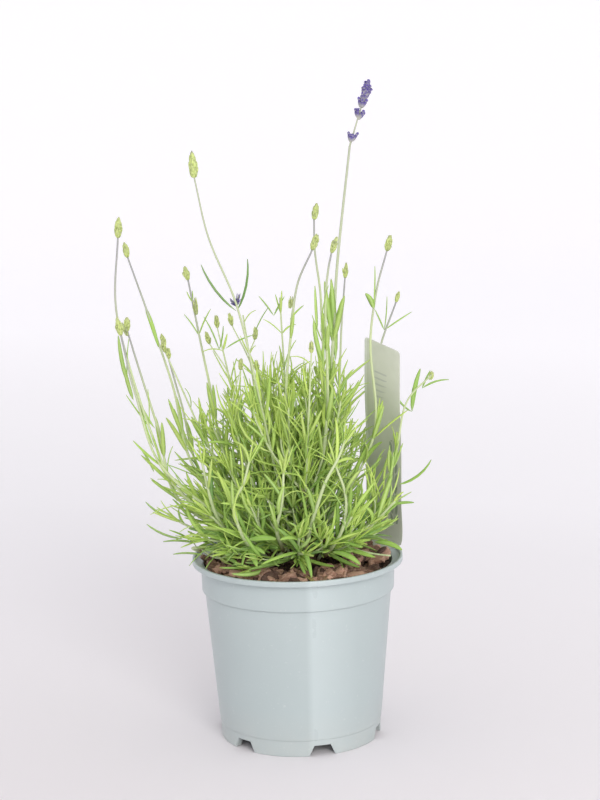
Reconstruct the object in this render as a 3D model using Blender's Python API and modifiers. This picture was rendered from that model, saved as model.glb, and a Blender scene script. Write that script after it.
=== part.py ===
"""Potted lavender: a young lavender plant growing in a round nursery pot, with its plant label.

Everything is in metres with +Z up. The pot stands on Z = 0 with its axis on the Z axis, and the front is -Y.
The plant is a woody crown in the potting soil. Flower stems and leafy shoots stand on the crown, each one a
tube with leaves joined to it, and every flower stem carries a flower spike of its own.
"""

import math
from collections import namedtuple

import bmesh
import bpy
from mathutils import Matrix, Vector
from mathutils.bvhtree import BVHTree
from mathutils.geometry import interpolate_bezier

MM = 0.001
GAP = 0.3 * MM
UP = Vector((0, 0, 1))
ROUND_STEPS = 48

# Pot: a thin moulded shell with a stepped neck, a flared rim and a notched foot ring.
POT_HEIGHT = 113.7 * MM
RIM_RADIUS = 65 * MM
RIM_WIDTH = 1.8 * MM
RIM_DEPTH = 3.4 * MM
NECK_RADIUS = 59.4 * MM
NECK_Z = 93.1 * MM
WALL_TOP_RADIUS = 57.6 * MM
WALL_FOOT_RADIUS = 50.4 * MM
FOOT_Z = 10.5 * MM
FOOT_RADIUS = 49.6 * MM
WALL = 1.2 * MM
FLOOR_Z = 7.4 * MM

# Foot notches and drain holes, six of each, every 60 degrees.
NOTCH_COUNT = 6
FIRST_NOTCH_ANGLE = math.radians(-76)
NOTCH_FOOT_WIDTH = 16.6 * MM
NOTCH_TOP_WIDTH = 10.3 * MM
NOTCH_HEIGHT = 6.6 * MM
DRAIN_RADIUS = 4.2 * MM
DRAIN_RING_RADIUS = 36 * MM

# Potting soil: fills the pot to just under the rim and rises a little towards the plant.
SOIL_EDGE_Z = 106.5 * MM
SOIL_RISE = 4.5 * MM

# Woody crown: a low mound half sunk in the soil.
CROWN_RADIUS = 20 * MM
CROWN_HALF_HEIGHT = 14 * MM
CROWN_Z = 104 * MM
SEAT_COUNT = 50
SEAT_SPREAD = 17 * MM
GOLDEN_ANGLE = math.pi * (3 - math.sqrt(5))

# Bark chips lying on the soil near the rim: direction, distance from the axis, length and width.
BARK_CHIPS = (
    (-158, 50, 17, 11),
    (-124, 47, 22, 12),
    (-97, 50, 15, 10),
    (-68, 46, 24, 13),
    (-38, 49, 18, 11),
    (100, 47, 20, 12),
)
BARK_THICKNESS = 4 * MM
BARK_TURN = math.radians(37)

# Plant label: a flat plastic strip that turns into a stake below the rim.
LABEL_WIDTH = 28 * MM
LABEL_THICKNESS = 0.8 * MM
STAKE_WIDTH = 9 * MM
STAKE_TIP_WIDTH = 3 * MM
LABEL_FACING = math.radians(42)

# The middle line of the label from its top down to the tip of its stake, and how far the strip is turned in
# its own plane there, in degrees.
LabelStation = namedtuple("LabelStation", "middle turn width")
LABEL_STATIONS = (
    LabelStation((54, -7, 245), 15, LABEL_WIDTH),
    LabelStation((54, 1, 212), 13, LABEL_WIDTH),
    LabelStation((55, 10, 178), 11, LABEL_WIDTH),
    LabelStation((55, 17, 146), 10, LABEL_WIDTH),
    LabelStation((55, 20, 118), 10, LABEL_WIDTH),
    LabelStation((49, 18, 110), 5, STAKE_WIDTH),
    LabelStation((47, 17, 84), 2, STAKE_WIDTH),
    LabelStation((45, 16, 60), 0, STAKE_TIP_WIDTH),
)

# Stems: radius at the crown, and how thin they are at their upper end as a share of that.
FLOWER_STEM_RADIUS = 0.9 * MM
FLOWER_STEM_TAPER = 0.62
SHOOT_RADIUS = 0.85 * MM
SHOOT_TAPER = 0.7
STEM_CLEARANCE = 0.4 * MM
STEM_LEAN = 0.2
STEM_RISE = 5 * MM
CLEAR_FROM = 3 * MM

# Leaf pairs: share of the way up the stem, leaf length and width in millimetres, and turn round the stem.
LeafPair = namedtuple("LeafPair", "share length width turn")
LEAF_ANGLE = math.radians(36)
LEAF_CURL = 0.14
LEAF_THICKNESS = 1.1 * MM
LEAF_INSET = 0.2 * MM
LEAF_TURNS = (0, 25, -25, 50, -50, 75, -75, 90)

# Flower stems, the tallest first. The knees are points that the stem passes through above the crown, in
# millimetres, and the last knee carries the spike, which ends at the tip.
FlowerStem = namedtuple("FlowerStem", "knees tip spike_radius leaf_pairs")
FLOWER_STEMS = (
    FlowerStem(
        ((21, 2, 210), (28, 4, 292), (37, 6, 364)),
        (49, 6, 402), 4.4,
        (LeafPair(0.36, 32, 3.4, 0), LeafPair(0.52, 34, 3.6, 20)),
    ),
    FlowerStem(
        ((-21, -34, 218), (-33, -48, 277), (-48, -58, 318), (-55, -64, 353)),
        (-56, -65, 369), 3.5,
        (LeafPair(0.36, 30, 3.0, 80), LeafPair(0.67, 27, 2.2, 0)),
    ),
    FlowerStem(
        ((-71, -36, 165), (-86, -43, 203), (-99, -50, 253), (-103, -54, 282), (-100, -57, 319)),
        (-99, -58, 331), 2.9,
        (LeafPair(0.52, 24, 2.6, 60), LeafPair(0.7, 16, 2.2, 90)),
    ),
    FlowerStem(
        ((-62, 18, 165), (-75, 30, 217), (-89, 40, 260), (-101, 48, 295)),
        (-103, 50, 304), 2.4,
        (LeafPair(0.45, 26, 2.8, 30), LeafPair(0.74, 24, 3.4, 90)),
    ),
    FlowerStem(
        ((-71, -18, 154), (-82, -24, 199), (-92, -29, 237), (-98, -33, 261)),
        (-98, -34, 269), 2.6,
        (LeafPair(0.55, 26, 3.0, 20), LeafPair(0.8, 20, 2.6, 70)),
    ),
    FlowerStem(
        ((-57, 34, 155), (-71, 50, 203), (-80, 58, 237)),
        (-82, 60, 244), 2.2,
        (LeafPair(0.55, 24, 2.6, 10),),
    ),
    FlowerStem(
        ((-42, 22, 170), (-53, 36, 221), (-59, 46, 252), (-64, 55, 279)),
        (-66, 58, 287), 2.6,
        (LeafPair(0.5, 26, 2.8, 40), LeafPair(0.92, 8, 2.0, 0)),
    ),
    FlowerStem(
        ((18, 28, 192), (19, 46, 266), (16, 52, 296), (16, 57, 315)),
        (18, 58, 325), 2.8,
        (LeafPair(0.42, 28, 3.0, 0), LeafPair(0.62, 20, 2.4, 70)),
    ),
    FlowerStem(
        ((-5, -18, 214), (-1, -26, 258), (3, -32, 286), (12, -38, 307)),
        (15, -40, 316), 2.6,
        (LeafPair(0.4, 28, 3.0, 30), LeafPair(0.7, 20, 2.2, 0)),
    ),
    FlowerStem(
        ((19, -24, 203), (19, -40, 277), (21, -44, 296), (23, -46, 306)),
        (26, -48, 315), 2.4,
        (LeafPair(0.45, 28, 3.4, 80), LeafPair(0.68, 24, 3.0, 10)),
    ),
    FlowerStem(
        ((27, 36, 191), (32, 54, 248), (35, 62, 277)),
        (36, 64, 286), 2.2,
        (LeafPair(0.5, 26, 2.6, 50),),
    ),
    FlowerStem(
        ((47, -14, 188), (46, -24, 250), (50, -30, 282), (56, -34, 305)),
        (58, -36, 314), 2.6,
        (LeafPair(0.4, 26, 2.8, 30), LeafPair(0.73, 18, 3.0, 0)),
    ),
    FlowerStem(
        ((42, 40, 166), (56, 52, 233), (67, 60, 261)),
        (69, 62, 267), 1.9,
        (LeafPair(0.72, 20, 2.2, 0),),
    ),
    FlowerStem(
        ((-78, -46, 179), (-94, -56, 230), (-100, -62, 263)),
        (-102, -63, 274), 2.6,
        (LeafPair(0.55, 24, 2.6, 40),),
    ),
)

# The tall spike stands open: three whorls of florets apart on one axis. Shares of its length and radius.
TALL_SPIKE_PROFILE = (
    (0.00, 0.12), (0.08, 0.14), (0.13, 0.66), (0.19, 0.62), (0.24, 0.14), (0.34, 0.14), (0.40, 0.78),
    (0.47, 0.70), (0.52, 0.16), (0.58, 0.18), (0.64, 0.92), (0.72, 1.00), (0.78, 0.72), (0.85, 0.90),
    (0.92, 0.62), (0.97, 0.30),
)
BUD_RINGS = 8
BUD_FULLNESS = 0.7
BUD_WAIST = 0.82
SPIKE_STEPS = 8

# Leafy shoots: where each one ends, in millimetres, after any other points that it passes through. A shoot
# with no other point bends outwards at a share of its end's distance and height above the crown's middle.
SHOOTS = (
    ((-76, 14, 235),), ((-45, 26, 248),), ((-30, 40, 258),), ((-7, 14, 272),), ((10, -50, 248),),
    ((44, -20, 139), (60, -22, 180), (68, -6, 208), (86, 24, 220)),
    ((-72, -14, 140),), ((-60, 30, 158),), ((-52, -42, 150),), ((-50, 4, 195),), ((-38, -22, 205),),
    ((-28, -54, 158),), ((-20, 8, 222),), ((-12, 62, 170),), ((-4, -30, 212),), ((0, -62, 140),),
    ((20, 46, 215),), ((28, -20, 214),), ((32, -54, 150),), ((32, 14, 208),), ((58, -44, 156),),
    ((40, 62, 165),),
)
SHOOT_BEND_OUT = 0.62
SHOOT_BEND_UP = 0.5
SHOOT_LEAF_PAIRS = (
    LeafPair(0.46, 30, 3.2, 0),
    LeafPair(0.72, 27, 3.0, 90),
    LeafPair(0.95, 22, 2.6, 0),
)


def remove_startup_objects():
    for obj in list(bpy.data.objects):
        bpy.data.objects.remove(obj, do_unlink=True)


def new_collection(name):
    collection = bpy.data.collections.new(name)
    bpy.context.scene.collection.children.link(collection)
    return collection


def new_material(name, colour, roughness):
    material = bpy.data.materials.new(name)
    material.use_nodes = True
    shader = material.node_tree.nodes["Principled BSDF"]
    shader.inputs["Base Color"].default_value = (*colour, 1)
    shader.inputs["Roughness"].default_value = roughness
    shader.inputs["Metallic"].default_value = 0
    material.diffuse_color = (*colour, 1)
    return material


def add_object(name, data, collection, material=None):
    obj = bpy.data.objects.new(name, data)
    collection.objects.link(obj)
    if material:
        data.materials.append(material)
    return obj


def mesh_from(name, bm):
    """The bmesh as a mesh with outward faces, and the bmesh freed."""
    bmesh.ops.recalc_face_normals(bm, faces=bm.faces)
    mesh = bpy.data.meshes.new(name)
    bm.to_mesh(mesh)
    bm.free()
    return mesh


def round_shading(mesh, sharp_degrees=35):
    mesh.shade_smooth()
    mesh.set_sharp_from_angle(angle=math.radians(sharp_degrees))


def turned(name, profile, steps, collection, material):
    """A turned solid: the (radius, height) profile runs over the top and down the outer side to the axis."""
    mesh = bpy.data.meshes.new(name)
    mesh.from_pydata([(r, 0, z) for r, z in profile], [(i, i + 1) for i in range(len(profile) - 1)], [])
    obj = add_object(name, mesh, collection, material)
    screw = obj.modifiers.new("Turn", "SCREW")
    screw.steps = screw.render_steps = steps
    screw.use_merge_vertices = True
    screw.merge_threshold = 0.0001
    screw.use_smooth_shade = True
    return obj


def make_cutter(obj):
    obj.hide_render = True
    obj.display_type = "WIRE"


def add_boolean(obj, name, operation, other):
    boolean = obj.modifiers.new(name, "BOOLEAN")
    boolean.operation = operation
    boolean.solver = "EXACT"
    boolean.object = other
    return boolean


def tree_of(*objects):
    """One search tree over the finished surfaces of the objects, in world space."""
    bpy.context.view_layer.update()
    graph = bpy.context.evaluated_depsgraph_get()
    bm = bmesh.new()
    for obj in objects:
        part = bpy.data.meshes.new_from_object(obj.evaluated_get(graph))
        part.transform(obj.matrix_world)
        bm.from_mesh(part)
        bpy.data.meshes.remove(part)
    tree = BVHTree.FromBMesh(bm)
    bm.free()
    return tree


def is_clear(points, distance, trees):
    return all(tree.find_nearest(point, distance)[0] is None for tree in trees for point in points)


# Pot


def inner_wall_radius(z):
    """The radius of the pot's inner face at a height below the neck."""
    share = (z - FOOT_Z) / (NECK_Z - FOOT_Z)
    return WALL_FOOT_RADIUS + share * (WALL_TOP_RADIUS - WALL_FOOT_RADIUS) - WALL


def pot_profile():
    floor_top = FLOOR_Z + WALL
    ledge_z = POT_HEIGHT - RIM_DEPTH
    neck_inner = NECK_RADIUS - WALL
    rim_inner = RIM_RADIUS - RIM_WIDTH
    return (
        (0, floor_top),
        (inner_wall_radius(floor_top), floor_top),
        (inner_wall_radius(NECK_Z), NECK_Z),
        (neck_inner, NECK_Z + WALL),
        (neck_inner, ledge_z + 0.4 * MM),
        (rim_inner, ledge_z + WALL),
        (rim_inner, POT_HEIGHT),
        (RIM_RADIUS - 0.3 * MM, POT_HEIGHT),
        (RIM_RADIUS, POT_HEIGHT - 0.5 * MM),
        (RIM_RADIUS, ledge_z),
        (NECK_RADIUS + 0.3 * MM, ledge_z - 0.8 * MM),
        (NECK_RADIUS, NECK_Z + 0.5 * MM),
        (WALL_TOP_RADIUS, NECK_Z - 0.3 * MM),
        (WALL_FOOT_RADIUS, FOOT_Z),
        (WALL_FOOT_RADIUS - 0.4 * MM, FOOT_Z - 0.5 * MM),
        (FOOT_RADIUS, 0),
        (FOOT_RADIUS - 1.4 * MM, 0),
        (FOOT_RADIUS - WALL, FLOOR_Z),
        (0, FLOOR_Z),
    )


def foot_cutter(cutters):
    """Six slanted notches through the foot ring and six round holes through the floor, as one cutter."""
    bm = bmesh.new()
    below = -2 * MM
    slope = (NOTCH_FOOT_WIDTH - NOTCH_TOP_WIDTH) / NOTCH_HEIGHT
    for k in range(NOTCH_COUNT):
        angle = FIRST_NOTCH_ANGLE + k * math.tau / NOTCH_COUNT
        turn = Matrix.Rotation(angle, 4, "Z")
        for vert in bmesh.ops.create_cube(bm, size=1)["verts"]:
            z = NOTCH_HEIGHT if vert.co.z > 0 else below
            width = NOTCH_TOP_WIDTH + slope * (NOTCH_HEIGHT - z)
            vert.co = turn @ Vector((FOOT_RADIUS + 12 * MM * vert.co.x, width * vert.co.y, z))
        hole = Matrix.Rotation(angle + math.pi / NOTCH_COUNT, 4, "Z") @ Matrix.Translation(
            (DRAIN_RING_RADIUS, 0, FLOOR_Z)
        )
        bmesh.ops.create_cone(
            bm,
            cap_ends=True,
            segments=12,
            radius1=DRAIN_RADIUS,
            radius2=DRAIN_RADIUS,
            depth=8 * MM,
            matrix=hole,
        )
    cutter = add_object("foot_cutter", mesh_from("foot_cutter", bm), cutters)
    make_cutter(cutter)
    return cutter


def make_pot(parts, cutters, material):
    pot = turned("pot", pot_profile(), ROUND_STEPS, parts, material)
    add_boolean(pot, "Foot", "DIFFERENCE", foot_cutter(cutters))
    return pot


# Soil, crown and bark


def soil_z(radius):
    """The height of the soil surface: a flat dome."""
    return SOIL_EDGE_Z + SOIL_RISE * math.cos(0.5 * math.pi * min(radius / NECK_RADIUS, 1))


def crown_solid(name, grow, collection, material=None):
    """The crown's mound, grown on every side, as a sixteen-sided ball pressed flat."""
    bm = bmesh.new()
    bmesh.ops.create_uvsphere(bm, u_segments=16, v_segments=8, radius=1)
    size = Vector((CROWN_RADIUS + grow, CROWN_RADIUS + grow, CROWN_HALF_HEIGHT + grow))
    bmesh.ops.transform(bm, matrix=Matrix.LocRotScale((0, 0, CROWN_Z), None, size), verts=bm.verts)
    mesh = mesh_from(name, bm)
    round_shading(mesh)
    return add_object(name, mesh, collection, material)


def make_soil(parts, cutters, material):
    floor = FLOOR_Z + WALL + GAP
    edge = NECK_RADIUS - WALL - GAP
    step = inner_wall_radius(NECK_Z) - GAP
    rings = [edge * share for share in (0, 0.4, 0.7, 0.9, 1)]
    profile = [(r, soil_z(r)) for r in rings]
    profile += [(edge, NECK_Z + WALL + GAP), (step, NECK_Z - GAP)]
    profile += [(inner_wall_radius(floor) - GAP, floor), (0, floor)]
    soil = turned("potting_soil", profile, ROUND_STEPS, parts, material)
    socket = crown_solid("crown_socket", GAP, cutters)
    slot = label_solid("label_slot", GAP, cutters)
    for name, cutter in (("Socket", socket), ("Slot", slot)):
        make_cutter(cutter)
        add_boolean(soil, name, "DIFFERENCE", cutter)
    return soil


def make_bark_chip(number, direction, distance, length, width, parts, material):
    """A flake of bark, a low five-sided frustum, lying flat on the slope of the soil."""
    name = f"bark_chip_{number:02d}"
    bm = bmesh.new()
    bmesh.ops.create_cone(bm, cap_ends=True, segments=5, radius1=0.5, radius2=0.4, depth=1)
    bmesh.ops.scale(bm, vec=(length * MM, width * MM, BARK_THICKNESS), verts=bm.verts)
    mesh = mesh_from(name, bm)
    chip = add_object(name, mesh, parts, material)
    distance *= MM
    slope = math.atan2(soil_z(distance + MM) - soil_z(distance - MM), 2 * MM)
    place = Matrix.Translation((distance, 0, soil_z(distance)))
    lie = Matrix.Rotation(math.radians(direction), 4, "Z") @ place @ Matrix.Rotation(-slope, 4, "Y")
    lie @= Matrix.Translation((0, 0, BARK_THICKNESS / 2 + 2 * GAP))
    chip.matrix_world = lie @ Matrix.Rotation(BARK_TURN * number, 4, "Z")
    return chip


# Label


def label_solid(name, grow, collection, material=None):
    """The label: a box with a cut at each station, bent along its middle line and grown on every side."""
    bm = bmesh.new()
    bmesh.ops.create_cube(bm, size=1)
    across = [edge for edge in bm.edges if abs(edge.verts[0].co.z - edge.verts[1].co.z) > 0.5]
    bmesh.ops.subdivide_edges(bm, edges=across, cuts=len(LABEL_STATIONS) - 2)
    last = len(LABEL_STATIONS) - 1
    normal = Vector((-math.sin(LABEL_FACING), -math.cos(LABEL_FACING), 0))
    for vert in bm.verts:
        index = round((0.5 - vert.co.z) * last)
        station = LABEL_STATIONS[index]
        turn = math.radians(station.turn)
        width_way = Vector((math.cos(LABEL_FACING), -math.sin(LABEL_FACING), 0)) * math.cos(turn)
        width_way.z = -math.sin(turn)
        end = UP * (grow * ((index == 0) - (index == last)))
        side = width_way * (station.width + 2 * grow) * vert.co.x
        face = normal * (LABEL_THICKNESS + 2 * grow) * -vert.co.y
        vert.co = Vector(station.middle) * MM + side + face + end
    return add_object(name, mesh_from(name, bm), collection, material)


# Stems and leaves


def crown_seat(index):
    """(point, outward direction) of one of the places on the crown, in a sunflower pattern."""
    radius = SEAT_SPREAD * math.sqrt((index + 0.5) / SEAT_COUNT)
    angle = index * GOLDEN_ANGLE
    rise = CROWN_HALF_HEIGHT * math.sqrt(1 - (radius / CROWN_RADIUS) ** 2)
    offset = Vector((radius * math.cos(angle), radius * math.sin(angle), rise))
    across, high = 1 / CROWN_RADIUS**2, 1 / CROWN_HALF_HEIGHT**2
    outward = Vector((offset.x * across, offset.y * across, offset.z * high))
    return Vector((0, 0, CROWN_Z)) + offset, outward.normalized()


def smooth_path(knees, points_per_span):
    """Points on a smooth curve through the knees, made of one Bezier arc between each two."""
    ways = []
    for i in range(len(knees)):
        before, after = knees[max(i - 1, 0)], knees[min(i + 1, len(knees) - 1)]
        ways.append((after - before).normalized())
    path = []
    for (start, start_way), (end, end_way) in zip(zip(knees, ways), list(zip(knees, ways))[1:]):
        reach = (end - start).length / 3
        pull_start, pull_end = start + start_way * reach, end - end_way * reach
        arc = interpolate_bezier(start, pull_start, pull_end, end, points_per_span + 1)
        path += [Vector(p) for p in arc[:-1]]
    return path + [knees[-1]]


def point_along(path, share):
    """(point, direction) at a share of the path's length."""
    lengths = [(b - a).length for a, b in zip(path, path[1:])]
    left = share * sum(lengths)
    for (start, end), length in zip(zip(path, path[1:]), lengths):
        if left <= length:
            break
        left -= length
    return start.lerp(end, min(left / length, 1)), (end - start).normalized()


def densely(path, spacing):
    """The path's points and others between them, closer together than the spacing."""
    found = []
    for start, end in zip(path, path[1:]):
        count = math.ceil((end - start).length / spacing)
        found += [start.lerp(end, i / count) for i in range(count)]
    return found + [path[-1]]


def make_tube(name, path, radius, taper, collection, material):
    """A round stem along the path, thinner at its end, as a mesh with welded caps."""
    curve = bpy.data.curves.new(name, "CURVE")
    curve.dimensions = "3D"
    curve.bevel_depth = radius
    curve.bevel_resolution = 1
    curve.use_fill_caps = True
    spline = curve.splines.new("POLY")
    spline.points.add(len(path) - 1)
    for i, (point, co) in enumerate(zip(spline.points, path)):
        point.co = (*co, 1)
        point.radius = 1 + (taper - 1) * i / (len(path) - 1)
    guide = add_object(name, curve, collection)
    bpy.context.view_layer.update()
    mesh = bpy.data.meshes.new_from_object(guide.evaluated_get(bpy.context.evaluated_depsgraph_get()))
    matrix = guide.matrix_world.copy()
    bpy.data.objects.remove(guide, do_unlink=True)
    bm = bmesh.new()
    bm.from_mesh(mesh)
    bpy.data.meshes.remove(mesh)
    bmesh.ops.remove_doubles(bm, verts=bm.verts, dist=0.01 * MM)
    mesh = mesh_from(name, bm)
    round_shading(mesh, 50)
    tube = add_object(name, mesh, collection, material)
    tube.matrix_world = matrix
    return tube


def add_leaf(bm, base, way, out, length, width):
    """A leaf: a four-sided ball drawn out along its way, flattened, and curled outwards towards its tip."""
    side = way.cross(out).normalized()
    face = side.cross(way).normalized()
    for vert in bmesh.ops.create_uvsphere(bm, u_segments=4, v_segments=4, radius=0.5)["verts"]:
        along = vert.co.z + 0.5
        middle = base + way * (along * length) + face * (LEAF_CURL * length * along * along)
        vert.co = middle + side * (vert.co.x * width) + face * (vert.co.y * LEAF_THICKNESS)


def add_leaf_pair(bm, path, pair, extra_turn):
    """Two leaves on opposite sides of the stem, leaning out of it by the leaf angle."""
    point, way = point_along(path, pair.share)
    first = (Vector((1, 0, 0)) - way * way.x).normalized()
    second = way.cross(first)
    angle = math.radians(pair.turn + extra_turn)
    for side in (0, math.pi):
        out = first * math.cos(angle + side) + second * math.sin(angle + side)
        leaf_way = way * math.cos(LEAF_ANGLE) + out * math.sin(LEAF_ANGLE)
        add_leaf(bm, point + out * LEAF_INSET, leaf_way, out, pair.length * MM, pair.width * MM)


def leaves_for(name, path, pairs, others, cutters):
    """All the leaf pairs of one stem as one mesh, each turned round the stem until it is clear."""
    leaves = bmesh.new()
    for pair in pairs:
        for extra_turn in LEAF_TURNS:
            trial = bmesh.new()
            add_leaf_pair(trial, path, pair, extra_turn)
            tree = BVHTree.FromBMesh(trial)
            corners = [vert.co.copy() for vert in trial.verts]
            trial.free()
            if is_clear(corners, GAP, others) and not any(tree.overlap(other) for other in others):
                add_leaf_pair(leaves, path, pair, extra_turn)
                break
    if not leaves.verts:
        leaves.free()
        return None
    obj = add_object(name + "_leaves", mesh_from(name + "_leaves", leaves), cutters)
    make_cutter(obj)
    return obj


def free_seat(name, knees, seats, radius, trees):
    """The stem's path from the free place on the crown that is nearest to its lean and leaves it clear."""
    lean = knees[0].xy * STEM_LEAN
    for index in sorted(seats, key=lambda i: (crown_seat(i)[0].xy - lean).length):
        seat, outward = crown_seat(index)
        start = seat + outward * 2 * GAP
        path = smooth_path([start, start + outward * STEM_RISE, *knees], 2)
        upper = [p for p in densely(path, MM) if (p - seat).length > CLEAR_FROM]
        if is_clear(upper, radius + STEM_CLEARANCE, trees):
            seats.remove(index)
            return path
    raise ValueError(f"{name} finds no clear way up from the crown")


def make_spike(number, base, tip, radius, parts, material):
    """A flower spike turned about its own axis, its foot just past the end of its stem."""
    name = f"flower_spike_{number:02d}"
    way = (tip - base).normalized()
    length = (tip - base).length - GAP
    if number == 1:
        profile = [(r * radius, z * length) for z, r in reversed(TALL_SPIKE_PROFILE)]
    else:
        shares = [i / BUD_RINGS for i in range(BUD_RINGS - 1, 0, -1)]
        profile = [
            (radius * math.sin(math.pi * s) ** BUD_FULLNESS * (BUD_WAIST if i % 2 else 1), s * length)
            for i, s in enumerate(shares)
        ]
    spike = turned(name, [(0, length), *profile, (0, 0)], SPIKE_STEPS, parts, material)
    spike.location = base + way * GAP
    spike.rotation_euler = way.to_track_quat("Z", "Y").to_euler()
    return spike


def make_plant(parts, cutters, fixed, materials):
    """The stems, each on its own place on the crown, and their spikes, then leaves where there is room."""
    seats = list(range(SEAT_COUNT))
    trees = {"fixed": tree_of(*fixed)}
    paths, pairs = {}, {}
    for number, stem in enumerate(FLOWER_STEMS, 1):
        name = f"flower_stem_{number:02d}"
        knees = [Vector(knee) * MM for knee in stem.knees]
        paths[name] = free_seat(name, knees, seats, FLOWER_STEM_RADIUS, trees.values())
        pairs[name] = stem.leaf_pairs
        tube = make_tube(name, paths[name], FLOWER_STEM_RADIUS, FLOWER_STEM_TAPER, parts, materials["stem"])
        petals = materials["violet"] if number == 1 else materials["bud"]
        spike = make_spike(number, knees[-1], Vector(stem.tip) * MM, stem.spike_radius * MM, parts, petals)
        trees[name] = tree_of(tube)
        trees[spike.name] = tree_of(spike)
    for number, knees in enumerate(SHOOTS, 1):
        name = f"leafy_shoot_{number:02d}"
        knees = [Vector(knee) * MM for knee in knees]
        if len(knees) == 1:
            bend = Vector((SHOOT_BEND_OUT, SHOOT_BEND_OUT, SHOOT_BEND_UP))
            knees.insert(0, knees[0] * bend + UP * CROWN_Z * (1 - SHOOT_BEND_UP))
        paths[name] = free_seat(name, knees, seats, SHOOT_RADIUS, trees.values())
        pairs[name] = SHOOT_LEAF_PAIRS
        tube = make_tube(name, paths[name], SHOOT_RADIUS, SHOOT_TAPER, parts, materials["leaf"])
        trees[name] = tree_of(tube)
    for name, path in paths.items():
        others = [tree for other, tree in trees.items() if other != name]
        leaves = leaves_for(name, path, pairs[name], others, cutters)
        if leaves:
            stem = parts.objects[name]
            union = add_boolean(stem, "Leaves", "UNION", leaves)
            union.use_self = True
            trees[name] = tree_of(stem)


def main():
    remove_startup_objects()
    parts = new_collection("potted_lavender")
    cutters = new_collection("cutters")
    materials = {
        "pot": new_material("pot_plastic", (0.52, 0.58, 0.58), 0.35),
        "soil": new_material("potting_soil", (0.055, 0.035, 0.024), 0.95),
        "wood": new_material("woody_crown", (0.16, 0.11, 0.06), 0.85),
        "bark": new_material("bark", (0.16, 0.075, 0.04), 0.9),
        "label": new_material("label_plastic", (0.36, 0.38, 0.31), 0.6),
        "stem": new_material("stem_green", (0.28, 0.36, 0.16), 0.6),
        "leaf": new_material("leaf_green", (0.22, 0.38, 0.08), 0.55),
        "bud": new_material("bud_green", (0.46, 0.5, 0.2), 0.7),
        "violet": new_material("floret_violet", (0.12, 0.07, 0.3), 0.7),
    }
    pot = make_pot(parts, cutters, materials["pot"])
    soil = make_soil(parts, cutters, materials["soil"])
    crown = crown_solid("woody_crown", 0, parts, materials["wood"])
    label = label_solid("plant_label", 0, parts, materials["label"])
    chips = [
        make_bark_chip(number, *chip, parts, materials["bark"]) for number, chip in enumerate(BARK_CHIPS, 1)
    ]
    make_plant(parts, cutters, [pot, soil, crown, label, *chips], materials)


main()
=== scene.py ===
# %% [markdown]
# # A potted lavender
#
# A young lavender plant in a round nursery pot, with bark on its soil and a plastic label behind it.
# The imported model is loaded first. It is the fixed frame that every new surface follows: the pot stands
# on Z = 0, its axis is the Z axis, and the front is -Y. All lengths are in metres.

# %% Load the frame
import math
from collections import namedtuple

import bpy
import numpy as np
from mathutils import Matrix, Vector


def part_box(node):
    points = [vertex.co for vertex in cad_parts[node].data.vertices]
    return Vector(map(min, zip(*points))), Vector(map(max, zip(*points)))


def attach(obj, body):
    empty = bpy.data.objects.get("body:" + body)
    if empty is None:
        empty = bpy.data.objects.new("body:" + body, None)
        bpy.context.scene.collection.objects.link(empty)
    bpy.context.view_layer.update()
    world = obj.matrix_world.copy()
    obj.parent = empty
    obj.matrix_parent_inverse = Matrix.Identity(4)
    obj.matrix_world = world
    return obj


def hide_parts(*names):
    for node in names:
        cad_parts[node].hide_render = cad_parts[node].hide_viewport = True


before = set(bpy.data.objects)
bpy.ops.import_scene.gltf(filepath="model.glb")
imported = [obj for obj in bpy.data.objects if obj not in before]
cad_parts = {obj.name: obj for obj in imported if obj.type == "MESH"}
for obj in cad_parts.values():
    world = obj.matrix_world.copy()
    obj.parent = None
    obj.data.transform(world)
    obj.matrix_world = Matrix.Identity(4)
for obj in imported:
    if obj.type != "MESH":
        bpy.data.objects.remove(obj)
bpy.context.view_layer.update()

MM = 0.001

# %% [markdown]
# ## The camera
#
# A plant on a table is pictured with a long lens from a little above its rim, so that the pot's mouth shows
# as a thin ellipse. The camera could be aimed with a Track To constraint. Here its three axes are written as
# a matrix, because the picture also leans by about a degree, and a matrix holds the lean exactly.

# %% Camera
CAMERA_PLACE = (-0.0212, -1.3087, 0.4557)
CAMERA_DOWN = 0.185
CAMERA_RIGHT = 0.019
CAMERA_LEAN = 0.022
CAMERA_LENS = 98.18


def make_camera():
    """Axes: ahead is turned right and tipped down, right is level, and both then lean round ahead."""
    ahead = np.array([
        math.sin(CAMERA_RIGHT) * math.cos(CAMERA_DOWN),
        math.cos(CAMERA_RIGHT) * math.cos(CAMERA_DOWN),
        -math.sin(CAMERA_DOWN),
    ])
    right = np.array([math.cos(CAMERA_RIGHT), -math.sin(CAMERA_RIGHT), 0])
    up = np.cross(right, ahead)
    lean_right = math.cos(CAMERA_LEAN) * right - math.sin(CAMERA_LEAN) * up
    lean_up = math.sin(CAMERA_LEAN) * right + math.cos(CAMERA_LEAN) * up
    matrix = np.identity(4)
    matrix[:3, 0], matrix[:3, 1], matrix[:3, 2], matrix[:3, 3] = lean_right, lean_up, -ahead, CAMERA_PLACE
    data = bpy.data.cameras.new("camera")
    data.lens = CAMERA_LENS
    camera = bpy.data.objects.new("camera", data)
    camera.matrix_world = Matrix(matrix.tolist())
    bpy.context.scene.collection.objects.link(camera)
    bpy.context.scene.camera = camera
    return camera


make_camera()
print("camera: lens", CAMERA_LENS, "mm")

# %% [markdown]
# ## Surfaces from arrays
#
# Leaves, stems, buds and bark chips are all one kind of surface: rings of points laid one after another
# along a line, closed with a point at each end. They could be curves with a bevel, or spheres pulled into
# shape one at a time. A plant has thousands of them, so numpy works them out as whole arrays: an array
# holds item, ring, point on the ring, and X Y Z, and one function joins the points up into faces.

# %% Shapes: points, faces and tags
Shape = namedtuple("Shape", "points quads tris tags")
TAGS = ("along", "across", "under", "age", "kind")
LEAF, STEM, BUD = 0.0, 0.5, 1.0


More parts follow.
